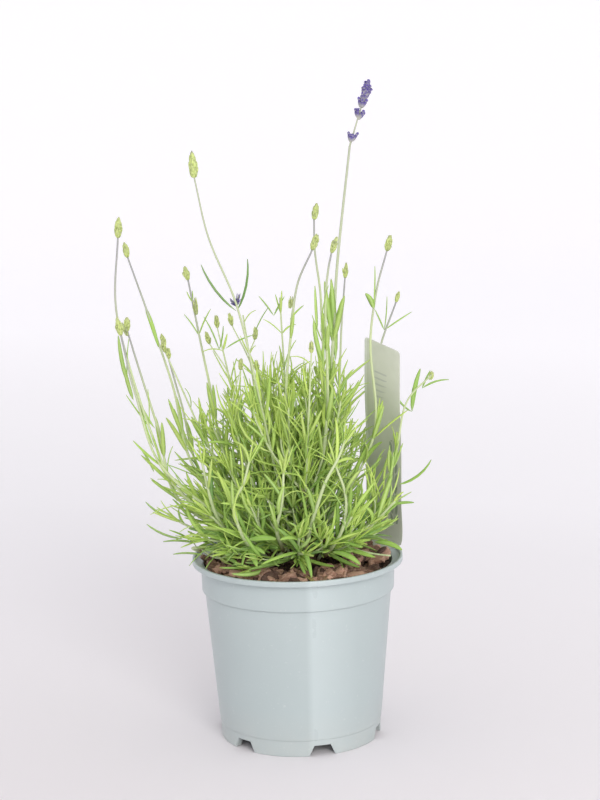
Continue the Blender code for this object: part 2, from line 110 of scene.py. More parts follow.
def turned(x, y, turn):
    """x and y after a turn: x cos - y sin, and x sin + y cos."""
    return x * np.cos(turn) - y * np.sin(turn), x * np.sin(turn) + y * np.cos(turn)


def unit(vectors):
    """Each vector divided by its length."""
    return vectors / np.maximum(np.linalg.norm(vectors, axis=-1, keepdims=True), 1e-12)


def mm(values):
    """An array of lengths that are written in millimetres."""
    return np.array(values, float) * MM


def ring_quads(rows, cols, closed=False):
    """Faces from each ring to the next one, and from the last ring to the first where closed."""
    row, col = np.meshgrid(np.arange(rows if closed else rows - 1), np.arange(cols), indexing="ij")
    down, after = (row + 1) % rows, (col + 1) % cols
    corners = [row * cols + col, row * cols + after, down * cols + after, down * cols + col]
    return np.stack(corners, -1).reshape(-1, 4)


# The order of a face's corners when it has to look the other way.
OTHER_WAY = [0, 3, 2, 1]


def loft(rings, start, end, **tags):
    """Closed skins over rings[item, ring, point]. Each quad joins two neighbours on a ring to the same two on
    the next ring, and a fan of triangles closes each end. Rings run anticlockwise seen from the end."""
    items, rows, cols = rings.shape[:3]
    size = rows * cols + 2
    points = np.concatenate([rings.reshape(items, size - 2, 3), start[:, None], end[:, None]], axis=1)
    first, second = np.arange(cols), (np.arange(cols) + 1) % cols
    foot = np.stack([np.full(cols, rows * cols), second, first], -1)
    last = (rows - 1) * cols
    head = np.stack([np.full(cols, rows * cols + 1), last + first, last + second], -1)
    quads, tris = ring_quads(rows, cols), np.concatenate([foot, head])
    step = (np.arange(items) * size)[:, None, None]
    filled = {}
    for name in TAGS:
        values = np.broadcast_to(np.asarray(tags.get(name, 0.0), float), (items, rows, cols))
        ends = np.stack([values[:, 0].mean(-1), values[:, -1].mean(-1)], -1)
        filled[name] = np.concatenate([values.reshape(items, size - 2), ends], axis=1).ravel()
    return Shape(
        points.reshape(items * size, 3),
        (quads + step).reshape(items * len(quads), 4),
        (tris + step).reshape(items * len(tris), 3),
        filled,
    )


def join(shapes):
    """Several shapes as one, with the face numbers moved on by the points that come before."""
    starts = np.cumsum([0] + [len(shape.points) for shape in shapes])
    return Shape(
        np.concatenate([shape.points for shape in shapes]),
        np.concatenate([shape.quads + start for shape, start in zip(shapes, starts)]),
        np.concatenate([shape.tris + start for shape, start in zip(shapes, starts)]),
        {name: np.concatenate([shape.tags[name] for shape in shapes]) for name in TAGS},
    )


def piece_from(name, shape, material, nodes, sharp=None):
    """The shape as a smooth mesh object, which rides on root and stands for the CAD nodes."""
    mesh = bpy.data.meshes.new(name)
    mesh.from_pydata(shape.points.tolist(), [], shape.quads.tolist() + shape.tris.tolist())
    for tag, values in shape.tags.items():
        layer = mesh.attributes.new(tag, "FLOAT", "POINT")
        layer.data.foreach_set("value", values.astype(np.float32))
    mesh.shade_smooth()
    if sharp:
        mesh.set_sharp_from_angle(angle=math.radians(sharp))
    mesh.materials.append(material)
    piece = bpy.data.objects.new(name, mesh)
    bpy.context.scene.collection.objects.link(piece)
    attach(piece, "root")
    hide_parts(*nodes)
    return piece


print("tags on every point:", ", ".join(TAGS))

# %% [markdown]
# ## Paths
#
# A stem's route is a few points that it passes through. Cubic arcs join them, so the stem bends like a
# living one and not like wire. Frames along a path need a direction across it: here that is the cross
# product with one fixed vector per stem, chosen square to its lean, so a tube never twists.

# %% Smooth paths, places on them and tubes
TUBE_SIDES = 7


def smooth(knees, per_span=10):
    """Cubic Hermite arcs through the knees. The direction at a knee is from its neighbour before to its
    neighbour after, as long as the span."""
    knees = np.asarray(knees, float)
    ahead = np.concatenate([knees[1:], knees[-1:]])
    behind = np.concatenate([knees[:1], knees[:-1]])
    ways = unit(ahead - behind)
    span = np.linalg.norm(np.diff(knees, axis=0), axis=1)[:, None, None]
    s = np.linspace(0, 1, per_span, endpoint=False)[None, :, None]
    a, b, u, v = knees[:-1, None], knees[1:, None], ways[:-1, None] * span, ways[1:, None] * span
    arcs = (2 * s**3 - 3 * s**2 + 1) * a + (s**3 - 2 * s**2 + s) * u
    arcs = arcs + (3 * s**2 - 2 * s**3) * b + (s**3 - s**2) * v
    return np.concatenate([arcs.reshape(-1, 3), knees[-1:]])


def path_length(path):
    """The sum of the lengths of its steps."""
    return np.linalg.norm(np.diff(path, axis=0), axis=1).sum()


def along_path(path, shares):
    """(points, directions) at shares of the path's length, by interpolation."""
    steps = np.linalg.norm(np.diff(path, axis=0), axis=1)
    where = np.concatenate([[0], np.cumsum(steps)]) / steps.sum()
    ways = unit(np.gradient(path, axis=0))
    points = np.stack([np.interp(shares, where, path[:, k]) for k in range(3)], -1)
    return points, unit(np.stack([np.interp(shares, where, ways[:, k]) for k in range(3)], -1))


def place_on(path, share):
    """One place on a path and the direction there."""
    points, ways = along_path(path, np.array([share]))
    return points[0], ways[0]


def side_frame(way):
    """Two directions square to each way, the first level or nearly so."""
    helper = np.where(np.abs(way[..., 2:3]) > 0.97, [1.0, 0, 0], [0, 0, 1.0])
    first = unit(np.cross(helper, way))
    return first, np.cross(way, first)


def fanned(ways, turn):
    """Directions square to the ways, each turned round its way."""
    first, second = side_frame(ways)
    return np.cos(turn)[:, None] * first + np.sin(turn)[:, None] * second


def leaning(ways, out, lean):
    """(way, bend) of leaves that leave a stem at the angle of their lean to it, towards out."""
    lean = lean[:, None]
    return np.cos(lean) * ways + np.sin(lean) * out, np.cos(lean) * out - np.sin(lean) * ways


def tubes(paths, radii, sides=TUBE_SIDES, **tags):
    """Round stems: a circle of the radius at each point of paths[stem, point], square to the path."""
    ways = unit(np.gradient(paths, axis=1))
    whole = unit(paths[:, -1] - paths[:, 0])
    fixed = side_frame(whole)[0][:, None]
    across = unit(fixed - ways * (fixed * ways).sum(-1, keepdims=True))
    other = np.cross(ways, across)
    angle = np.linspace(0, math.tau, sides, endpoint=False)[:, None]
    ring = np.cos(angle) * across[:, :, None] + np.sin(angle) * other[:, :, None]
    rings = paths[:, :, None] + radii[:, :, None, None] * ring
    tags.setdefault("along", np.linspace(0, 1, paths.shape[1])[None, :, None])
    start = paths[:, 0] - ways[:, 0] * radii[:, :1] * 0.5
    end = paths[:, -1] + ways[:, -1] * radii[:, -1:] * 0.5
    return loft(rings, start, end, **tags)


print("a tube ring has", TUBE_SIDES, "points")

# %% [markdown]
# ## The lavender leaf
#
# A lavender leaf is a narrow blade whose edges roll under, with a groove down its middle. It could be a
# flat strip with Solidify. The rolled edges and the groove are what catch the light, so each leaf here is a
# closed loft with six points to a ring: two edges, two shoulders, the groove and the underside.

# %% Leaves
LEAF_RINGS = np.array([0.03, 0.14, 0.3, 0.5, 0.7, 0.87, 0.975])
LEAF_SECTION = np.array([(1, -0.3), (0.58, 0.9), (0, 0.3), (-0.58, 0.9), (-1, -0.3), (0, -0.9)])
LEAF_THICK = 0.36 * MM
LEAF_ACROSS = np.array([1, 0.5, 0, 0.5, 1, 0])
LEAF_UNDER = np.array([0.4, 0, 0, 0, 0.4, 1])


def blade_points(base, way, bend, length, curl, shares):
    """Points on the leaves' middle lines, at each of the shares of their length."""
    turn = np.where(np.abs(curl) < 0.01, 0.01, curl)[:, None]
    forward = length[:, None] * np.sin(turn * shares) / turn
    aside = length[:, None] * (1 - np.cos(turn * shares)) / turn
    return base[:, None] + forward[..., None] * way[:, None] + aside[..., None] * bend[:, None]


def blades(base, way, bend, length, width, curl, age, thick=LEAF_THICK, roll=0.0):
    """Leaves, each turned by its roll about its middle line. That line is a circle's arc: after a share t of
    the length it has gone length * sin(curl t) / curl along its way and length * (1 - cos(curl t)) / curl
    towards its bend. The half width is (1 - exp(-8 t)) * root(1 - t cubed): a narrow foot and a blunt tip."""
    t = LEAF_RINGS[None]
    turn = np.where(np.abs(curl) < 0.01, 0.01, curl)[:, None]
    middle = blade_points(base, way, bend, length, curl, LEAF_RINGS)
    top = np.sin(turn * t)[..., None] * way[:, None] - np.cos(turn * t)[..., None] * bend[:, None]
    side = np.cross(way, bend)[:, None]
    roll = np.broadcast_to(roll, length.shape)[:, None, None]
    side, top = np.cos(roll) * side + np.sin(roll) * top, np.cos(roll) * top - np.sin(roll) * side
    full = (1 - np.exp(-t / 0.12)) * np.sqrt(1 - t**3)
    half = (0.5 * width[:, None] * full)[..., None, None] * LEAF_SECTION[:, :1]
    rise = (thick * (0.4 + 0.6 * full))[..., None, None] * LEAF_SECTION[:, 1:]
    rings = middle[:, :, None] + half * side[:, :, None] + rise * top[:, :, None]
    tip = blade_points(base, way, bend, length, curl, np.array([1.0]))[:, 0]
    return loft(
        rings, base, tip, along=t[..., None], across=LEAF_ACROSS, under=LEAF_UNDER,
        age=age[:, None, None], kind=LEAF,
    )


LEAF_ROLL = 0.75


def leaf_to(base, tip, width, curl, age):
    """One leaf from its base to its tip, in millimetres. Its chord is (2 / curl) * sin(curl / 2) of its
    length, turned half the curl away from its first direction. A positive curl bows its middle upwards."""
    base, tip = mm([base]), mm([tip])
    chord = tip - base
    reach = np.linalg.norm(chord, axis=-1)
    ahead = unit(chord)
    up = np.array([[0, 0, 1.0]])
    down = unit(ahead * (up * ahead).sum(-1, keepdims=True) - up)
    half = curl / 2
    way = math.cos(half) * ahead - math.sin(half) * down
    bend = math.sin(half) * ahead + math.cos(half) * down
    length = reach * (half / math.sin(half) if abs(half) > 0.01 else 1)
    return blades(base, way, bend, length, mm([width]), np.array([curl]), np.array([age]), roll=LEAF_ROLL)


print("a leaf has", len(LEAF_RINGS) * len(LEAF_SECTION) + 2, "points")

# %% [markdown]
# ## Growing leaves on a stem
#
# Lavender leaves stand in pairs, each pair a quarter turn on from the one below, long low down and short
# near the tip, with small tufts in their corners. They could be placed by Geometry Nodes. A seeded random
# generator and this rule give the same plant each time, and keep every leaf as real geometry.

# %% Leaf pairs, tufts and side branches
rim_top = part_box("pot")[1][2]
rim_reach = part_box("pot")[1][0]
# How far from its middle the clump spreads, by height: leaves of the shoots that would pass it aren't grown.
CLUMP_SHIFT = (-7 * MM, 0)
CLUMP_HEIGHTS = mm([112, 125, 150, 180, 205, 235, 280])
CLUMP_SPREAD = mm([68, 78, 84, 77, 68, 58, 44])
SOIL_ROOM = 2 * MM
RIM_ROOM = 1.5 * MM
WALL_ROOM = 12 * MM
TUFT_SPREAD = 1.05
GOLDEN_TURN = 2.4


def has_room(points, spread):
    """True for each leaf whose points are above the soil, over the rim and, with spread, inside the clump."""
    x, y, z = points[..., 0], points[..., 1], points[..., 2]
    radius = np.hypot(x, y)
    free = (z > rim_top - SOIL_ROOM) & ((radius < rim_reach - WALL_ROOM) | (z > rim_top + RIM_ROOM))
    if spread:
        across = np.hypot(x - CLUMP_SHIFT[0], y - CLUMP_SHIFT[1])
        free &= across < np.interp(z, CLUMP_HEIGHTS, CLUMP_SPREAD) * spread
    return free.all(axis=1)


def grown(dice, base, way, bend, length, width, curl, age, spread=1.0):
    """The leaves that have room, each turned a little round its own way so that it bows to one side."""
    aside = dice.normal(0, 0.7, len(base))[:, None]
    bend = np.cos(aside) * bend + np.sin(aside) * np.cross(way, bend)
    room = has_room(blade_points(base, way, bend, length, curl, np.array([0.5, 0.75, 1.0])), spread)
    roll = dice.normal(0, 0.5, len(base))
    chosen = [values[room] for values in (base, way, bend, length, width, curl, age)]
    return blades(*chosen, roll=roll[room])


def pairs_on(path, dice, start, stop, spacing, low, high, open_low, open_high, width, age, spread=1.0):
    """Leaf pairs along a path: the length goes from low to high and the angle to the stem from open_low to
    open_high, each with some scatter, and the turn grows by a quarter for each pair."""
    count = max(int((stop - start) * path_length(path) / spacing), 1)
    shares = np.linspace(start, stop, count) + dice.uniform(-0.3, 0.3, count) * (stop - start) / count
    points, ways = along_path(path, np.clip(shares, 0, 1))
    risen = (shares - start) / max(stop - start, 1e-6)
    points, ways, risen = (np.repeat(values, 2, axis=0) for values in (points, ways, risen))
    leaves = 2 * count
    first_turn = dice.uniform(0, math.pi)
    turn = first_turn + np.repeat(np.arange(count) * math.pi / 2 + dice.normal(0, 0.25, count), 2)
    turn = turn + np.tile([0, math.pi], count) + dice.normal(0, 0.12, leaves)
    lean = open_low + (open_high - open_low) * risen + dice.normal(0, 0.14, leaves)
    way, bend = leaning(ways, fanned(ways, turn), np.clip(lean, 0.08, 1.5))
    length = (low + (high - low) * risen) * dice.uniform(0.68, 1.2, leaves)
    width = width * dice.uniform(0.75, 1.25, leaves)
    curl = dice.normal(0.05, 0.75, leaves)
    ages = np.clip(age + dice.normal(0, 0.2, leaves) - 0.25 * risen, 0, 1)
    return grown(dice, points, way, bend, length, width, curl, ages, spread)


def tuft_on(path, dice, share, count, length, width, age):
    """A few small upright leaves from one place on a path, fanned round it."""
    points, ways = along_path(path, np.full(count, share))
    turn = np.arange(count) * GOLDEN_TURN + dice.uniform(0, math.tau)
    way, bend = leaning(ways, fanned(ways, turn), dice.uniform(0.12, 0.5, count))
    length = length * dice.uniform(0.5, 1.1, count)
    width = width * dice.uniform(0.7, 1.1, count)
    curl = dice.normal(-0.1, 0.4, count)
    ages = np.clip(age + dice.normal(0, 0.1, count), 0, 1)
    return grown(dice, points, way, bend, length, width, curl, ages, TUFT_SPREAD)


def branch_path(origin, way, towards, length, curl, steps=9):
    """A side branch: a circle's arc that leaves along its way and bends towards a direction."""
    bend = unit(towards - way * (towards * way).sum(-1, keepdims=True))
    t = np.linspace(0, 1, steps)[:, None]
    return origin + length * (np.sin(curl * t) / curl * way + (1 - np.cos(curl * t)) / curl * bend)


print("the clump is widest at", CLUMP_SPREAD.max() / MM, "mm")

# %% [markdown]
# ## Shader sums in Python
#
# A material is a net of nodes. Building it by hand in Python takes many lines for a small formula, so a
# socket is wrapped in a class that overloads the arithmetic signs, and one method makes every other node.

# %% Wires and finishes
class Wire:
    """An output socket that can be used in arithmetic. Each sign adds one Math node."""

    def __init__(self, finish, socket):
        self.finish, self.socket = finish, socket

    def math(self, operation, *values):
        return self.finish.node("Math", {"operation": operation}, dict(enumerate(values)))

    def __abs__(self):
        return self.math("ABSOLUTE", self)

    def sine(self):
        return self.math("SINE", self)

    def between(self, low, high):
        """0 at low, 1 at high, and held outside them."""
        return self.finish.node(
            "MapRange", {}, {"Value": self, "From Min": low, "From Max": high, "To Min": 0.0, "To Max": 1.0}
        )


def add_sign(sign, operation):
    """Gives Wire one arithmetic sign, with the wire on the left of it or on the right."""
    setattr(Wire, f"__{sign}__", lambda wire, other: wire.math(operation, wire, other))
    setattr(Wire, f"__r{sign}__", lambda wire, other: wire.math(operation, other, wire))


add_sign("add", "ADD")
add_sign("sub", "SUBTRACT")
add_sign("mul", "MULTIPLY")
add_sign("truediv", "DIVIDE")
add_sign("pow", "POWER")
add_sign("mod", "FLOORED_MODULO")
add_sign("lt", "LESS_THAN")
add_sign("gt", "GREATER_THAN")


class Finish:
    """A material being made: a Principled shader and the nodes that feed it."""

    def __init__(self, name, **constants):
        self.material = bpy.data.materials.new(name)
        self.material.use_nodes = True
        self.tree = self.material.node_tree
        self.shader = self.tree.nodes["Principled BSDF"]
        for socket, value in constants.items():
            self.shader.inputs[socket.replace("_", " ").title().replace("Ior", "IOR")].default_value = value

    def node(self, kind, settings, sockets, output=0):
        """A node with its settings made first and then each socket set or linked, as one output wire."""
        made = self.tree.nodes.new("ShaderNode" + kind)
        for setting, value in settings.items():
            setattr(made, setting, value)
        for socket, value in sockets.items():
            self.put(made.inputs[socket], value)
        return Wire(self, made.outputs[output])

    def put(self, socket, value):
        if isinstance(value, Wire):
            self.tree.links.new(value.socket, socket)
        elif isinstance(value, (tuple, list)) and socket.type == "RGBA":
            socket.default_value = (*value, 1)
        else:
            socket.default_value = value

    def place(self):
        return self.node("TexCoord", {}, {}, "Object")

    def stretched(self, x, y, z):
        return self.node("Mapping", {}, {"Vector": self.place(), "Scale": (x, y, z)})

    def tag(self, name):
        return self.node("Attribute", {"attribute_name": name}, {}, "Fac")

    def noise(self, scale, detail=3.0, rough=0.55, at=None):
        sockets = {"Vector": at or self.place(), "Scale": scale, "Detail": detail, "Roughness": rough}
        return self.node("TexNoise", {}, sockets)

    def cells(self, scale):
        return self.node("TexVoronoi", {}, {"Vector": self.place(), "Scale": scale})

    def axis(self, letter):
        return self.node("SeparateXYZ", {}, {"Vector": self.place()}, letter)

    def mix(self, share, low, high):
        """One colour at share 0 and the other at share 1."""
        return self.node("Mix", {"data_type": "RGBA"}, {0: share, 6: low, 7: high}, 2)

    def paint(self, colour=None, rough=None, bumps=()):
        """Links the colour and the roughness, and stacks Bump nodes of (height, strength, distance)."""
        if colour is not None:
            self.put(self.shader.inputs["Base Color"], colour)
        if rough is not None:
            self.put(self.shader.inputs["Roughness"], rough)
        normal = None
        for height, strength, distance in bumps:
            sockets = {"Height": height, "Strength": strength, "Distance": distance}
            if normal:
                sockets["Normal"] = normal
            normal = self.node("Bump", {}, sockets)
        if normal:
            self.put(self.shader.inputs["Normal"], normal)
        return self.material


print("finishes ready")

# %% [markdown]
# ## Green finishes
#
# Leaves, stems and buds are one living skin with different colours, so one function makes the finish for
# all of them. It reads the tags that each point carries: how far along and across the leaf it is, how old
# the leaf is, and whether the point is on a leaf, a stem or a bud. The alternative, a material for each kind,
# would split every shoot into several meshes.

# %% Foliage, flower stems and buds
YOUNG_GREEN = (0.56, 0.74, 0.15)
LEAF_GREEN = (0.34, 0.56, 0.10)
OLD_GREEN = (0.15, 0.31, 0.07)
GREY_GREEN = (0.55, 0.64, 0.38)
PALE_STEM = (0.58, 0.66, 0.38)
LILAC_STEM = (0.37, 0.36, 0.38)
WOODY_STEM = (0.22, 0.16, 0.08)
LIME_BUD = (0.60, 0.70, 0.24)
OLIVE_BUD = (0.26, 0.32, 0.09)
DARK_BUD = (0.09, 0.06, 0.26)
LILAC_TIP = (0.46, 0.46, 0.32)


def green_finish(name, lilac_from, lilac_to):
    """Leaf, stem or bud colour by the kind tag, with fine mottling, a pale groove and downy roughness."""
    skin = Finish(name, specular_ior_level=0.35)
    along, across, under = skin.tag("along"), skin.tag("across"), skin.tag("under")
    age, kind = skin.tag("age"), skin.tag("kind")
    mottle = skin.noise(320, 3)
    patch = skin.noise(60, 2)
    speckle = skin.noise(700, 2)
    years = age + (patch - 0.5) * 0.5
    leaf = skin.mix(years.between(0.0, 0.5), YOUNG_GREEN, LEAF_GREEN)
    leaf = skin.mix(years.between(0.5, 1.0), leaf, OLD_GREEN)
    leaf = skin.mix((1 - across.between(0.0, 0.35)) * 0.22, leaf, GREY_GREEN)
    leaf = skin.mix(under * 0.22, leaf, GREY_GREEN)
    leaf = skin.mix((1 - along.between(0.0, 0.16)) * 0.45, leaf, PALE_STEM)
    leaf = skin.mix(along.between(0.9, 1.0) * 0.25, leaf, WOODY_STEM)
    stem = skin.mix(along.between(0.02, 0.16), WOODY_STEM, PALE_STEM)
    stem = skin.mix(along.between(lilac_from, lilac_to), stem, LILAC_STEM)
    stem = skin.mix(age * 0.6, stem, LEAF_GREEN)
    bud = skin.mix(speckle.between(0.45, 0.65) * 0.75, LIME_BUD, OLIVE_BUD)
    bud = skin.mix(along.between(0.55, 1.0) * 0.5, bud, LILAC_TIP)
    bud = skin.mix(age, bud, DARK_BUD)
    colour = skin.mix(kind.between(0.2, 0.3), leaf, stem)
    colour = skin.mix(kind.between(0.7, 0.8), colour, bud)
    colour = skin.mix((mottle - 0.5).between(0.0, 0.3) * 0.14, colour, GREY_GREEN)
    down = skin.noise(2600, 2)
    return skin.paint(colour, 0.5 + mottle * 0.25, [(mottle, 0.25, 0.0006), (down, 0.2, 0.0003)])


NO_LILAC = (2.0, 3.0)
foliage_finish = green_finish("foliage", *NO_LILAC)
flower_stem_finish = green_finish("flower_stem", 0.62, 0.95)
tall_stem_finish = green_finish("tall_flower_stem", 0.35, 1.5)
bud_finish = green_finish("flower_bud", *NO_LILAC)
print("green finishes:", foliage_finish.name, flower_stem_finish.name, tall_stem_finish.name, bud_finish.name)

# %% [markdown]
# ## Stem routes
#
# These are the given points of the plant, in millimetres, the same as in the imported model. Each stem
# starts where its CAD solid starts on the woody crown, so its foot is read from that node's lowest points.

# %% Routes of the flower stems and leafy shoots
# A flower stem has the points that it passes through, the last of them at the foot of its head, the tip and
# the radius of the head, and its upper leaf pairs: share of the stem, length, width, and turn in degrees.
FlowerStem = namedtuple("FlowerStem", "knees tip spike_radius leaf_pairs")
FLOWER_STEMS = (
    FlowerStem(((21, 2, 210), (28, 4, 292), (37, 6, 364)), (49, 6, 402), 4.4,
               ((0.36, 32, 3.4, 0), (0.52, 34, 3.6, 20))),
    FlowerStem(((-21, -34, 218), (-33, -48, 277), (-48, -58, 318), (-55, -64, 353)), (-56, -65, 369), 3.5,
               ((0.36, 30, 3.0, 80),)),
    FlowerStem(((-71, -36, 165), (-86, -43, 203), (-99, -50, 253), (-103, -54, 282), (-100, -57, 319)),
               (-99, -58, 331), 2.9, ((0.52, 24, 2.6, 60),)),
    FlowerStem(((-62, 18, 165), (-75, 30, 217), (-89, 40, 260), (-101, 48, 295)), (-103, 50, 304), 2.4,
               ((0.45, 26, 2.8, 30),)),
    FlowerStem(((-71, -18, 154), (-82, -24, 199), (-92, -29, 237), (-98, -33, 261)), (-98, -34, 269), 2.6,
               ((0.55, 26, 3.0, 20),)),
    FlowerStem(((-57, 34, 155), (-71, 50, 203), (-80, 58, 237)), (-82, 60, 244), 2.2, ((0.55, 24, 2.6, 10),)),
    FlowerStem(((-42, 22, 170), (-53, 36, 221), (-59, 46, 252), (-64, 55, 279)), (-66, 58, 287), 2.6,
               ((0.5, 26, 2.8, 40), (0.92, 8, 1.4, 0))),
    FlowerStem(((18, 28, 192), (19, 46, 266), (16, 52, 296), (16, 57, 315)), (18, 58, 325), 2.8,
               ((0.42, 28, 3.0, 0), (0.62, 20, 2.4, 70))),
    FlowerStem(((-5, -18, 214), (-1, -26, 258), (3, -32, 286), (12, -38, 307)), (15, -40, 316), 2.6,
               ((0.4, 28, 3.0, 30), (0.7, 20, 2.2, 0))),
    FlowerStem(((19, -24, 203), (19, -40, 277), (21, -44, 296), (23, -46, 306)), (26, -48, 315), 2.4,
               ((0.45, 28, 3.4, 80), (0.68, 24, 3.0, 10))),
    FlowerStem(((27, 36, 191), (32, 54, 248), (35, 62, 277)), (36, 64, 286), 2.2, ((0.5, 26, 2.6, 50),)),
    FlowerStem(((47, -14, 188), (46, -24, 250), (50, -30, 282), (56, -34, 305)), (58, -36, 314), 2.6,
               ((0.4, 26, 2.8, 30),)),
    FlowerStem(((42, 40, 166), (56, 52, 233), (67, 60, 261)), (69, 62, 267), 1.9, ((0.4, 20, 2.2, 0),)),
    FlowerStem(((-78, -46, 179), (-94, -56, 230), (-100, -62, 263)), (-102, -63, 274), 2.6,
               ((0.55, 24, 2.6, 40),)),
)
# A shoot has the place of its tip, or all the points that it passes through.
SHOOTS = (
    ((-76, 14, 235),), ((-45, 26, 248),), ((-30, 40, 258),), ((-7, 14, 272),), ((10, -50, 248),),
    ((44, -20, 139), (60, -22, 180), (68, -6, 208), (86, 24, 220)),
    ((-72, -14, 140),), ((-60, 30, 158),), ((-52, -42, 150),), ((-50, 4, 195),), ((-38, -22, 205),),
    ((-28, -54, 158),), ((-20, 8, 222),), ((-12, 62, 170),), ((-4, -30, 212),), ((0, -62, 140),),
    ((20, 46, 215),), ((28, -20, 214),), ((32, -54, 150),), ((32, 14, 208),), ((58, -44, 156),),
    ((40, 62, 165),),
)
SHOOT_BEND = (0.62, 0.62, 0.5)
SHOOT_BEND_RISE = 52
STEM_RISE = 5 * MM
STEM_SUNK = 0.8 * MM
crown_low, crown_high = (np.array(corner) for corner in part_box("woody_crown"))
CROWN_MIDDLE = (crown_low + crown_high) / 2
CROWN_SIZE = (crown_high - crown_low) / 2


def node_points(name):
    """The points of one CAD node."""
    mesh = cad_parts[name].data
    points = np.empty(len(mesh.vertices) * 3, np.float32)
    mesh.vertices.foreach_get("co", points)
    return points.reshape(-1, 3).astype(float)


def stem_route(name, knees):
    """The stem's path: out of the crown along its slope, and then through the knees."""
    points = node_points(name)
    foot = points[points[:, 2] < points[:, 2].min() + 0.4 * MM].mean(0)
    outward = unit((foot - CROWN_MIDDLE) / CROWN_SIZE**2)
    return smooth([foot - outward * STEM_SUNK, foot + outward * STEM_RISE, *mm(knees)])


def shoot_knees(knees):
    """A shoot with one point also bends outwards at a share of that point's distance and height."""
    if len(knees) > 1:
        return knees
    end = np.array(knees[0])
    return [end * SHOOT_BEND + (0, 0, SHOOT_BEND_RISE), end]


print(len(FLOWER_STEMS), "flower stems and", len(SHOOTS), "leafy shoots")

# %% [markdown]
# ## Leafy shoots
#
# Each shoot is a pale stem with side branches, and every stem carries leaf pairs up to a tuft at its tip.
# The high shoots are slim with long gaps between their pairs; the low ones lean out over the rim with
# broader, more open leaves. A few also carry a small unopened bud on a thin stalk.

# %% Bud heads
BUD_SECTION = 6
BUD_RINGS = np.array([0.06, 0.28, 0.58, 0.86])


def capsules(base, way, length, radius, age):
    """Small closed calyxes: a round section whose radius follows the root of a sine along its length."""
    first, second = side_frame(way)
    angle = np.linspace(0, math.tau, BUD_SECTION, endpoint=False)[:, None]
    ring = np.cos(angle) * first[:, None, None] + np.sin(angle) * second[:, None, None]
    full = np.sin(math.pi * (0.12 + 0.8 * BUD_RINGS)) ** 0.7
    middle = base[:, None] + (length[:, None] * BUD_RINGS)[..., None] * way[:, None]
    rings = middle[:, :, None] + (radius[:, None] * full)[..., None, None] * ring
    tip = base + length[:, None] * way
    return loft(rings, base, tip, along=BUD_RINGS[:, None], age=age[:, None, None], kind=BUD)


def bud_head(base, tip, radius, dice, rows=4, around=5, age=0.05):
    """An unopened flower head: rows of calyxes that lie close along a slim egg shape and overlap upwards."""
    axis = unit(tip - base)[None]
    length = np.linalg.norm(tip - base)
    row, column = (grid.ravel() for grid in np.meshgrid(np.arange(rows), np.arange(around), indexing="ij"))
    share = row / rows
    turn = math.tau * (column + 0.5 * (row % 2)) / around + dice.normal(0, 0.08, len(row))
    out = fanned(axis, turn)
    lean = 0.3 - 0.62 * share + dice.normal(0, 0.06, len(row))
    ring = radius * 0.64 * (np.sin(math.pi * (0.12 + 0.84 * share)) ** 0.9)[:, None]
    foot = base + axis * (length * share * 0.72)[:, None] + out * ring
    size = length * (1.35 / rows + 0.06) * dice.uniform(0.85, 1.15, len(row))
    ages = np.clip(dice.normal(age, 0.05, len(row)), 0, 1)
    calyxes = capsules(foot, leaning(axis, out, lean)[0], size, np.full(len(row), radius * 0.33), ages)
    core = capsules(base[None], axis, np.array([length * 0.92]), np.array([radius * 0.62]), np.array([0.3]))
    return join([calyxes, core])


print("a calyx has", len(BUD_RINGS) * BUD_SECTION + 2, "points")

# %% Side stalks with buds, and the shoots
# Buds: the shoot, the share of the way up it where the stalk leaves, where the bud stands, and its height.
SHOOT_BUDS = (
    (1, 0.72, (-78, 14, 240), 8),
    (1, 0.98, (-76, 14, 236), 7),
    (2, 0.75, (-51, 24, 243), 8),
    (2, 0.98, (-46, 30, 252), 8),
    (3, 0.7, (-37, 44, 251), 8),
    (3, 0.8, (-23, 36, 243), 8),
    (11, 0.9, (-32, -10, 232), 7),
    (5, 0.99, (10, -50, 248), 7),
    (6, 0.93, (86, 30, 216), 6),
    (13, 0.97, (-22, 8, 228), 7),
    (17, 0.97, (24, 48, 222), 7),
)
SHOOT_SEED = 40
LOW_SHOOT_TOP = 0.18
SLIM_SHOOTS = (1, 2, 3, 4, 5, 6)
RIGHT_SHOOT = 6
# Pale sprigs that lean out over the front: for each shoot, the points that its sprig passes through.
SPRIGS = {
    12: ((-24, -30, 122), (-31, -47, 134), (-36, -55, 148), (-38, -57, 160), (-32, -55, 171),
         (-28, -51, 184)),
    16: ((-9, -30, 124), (-13, -48, 142), (-11, -54, 152), (-9, -57, 163), (-8, -55, 178)),
    19: ((4, -30, 122), (8, -50, 145), (12, -55, 159), (17, -57, 173), (24, -55, 185), (29, -51, 196)),
    9: ((-38, -24, 126), (-49, -38, 150), (-53, -42, 166), (-56, -42, 182)),
    21: ((16, -30, 120), (24, -48, 136), (28, -55, 150), (28, -56, 165), (23, -53, 180)),
}
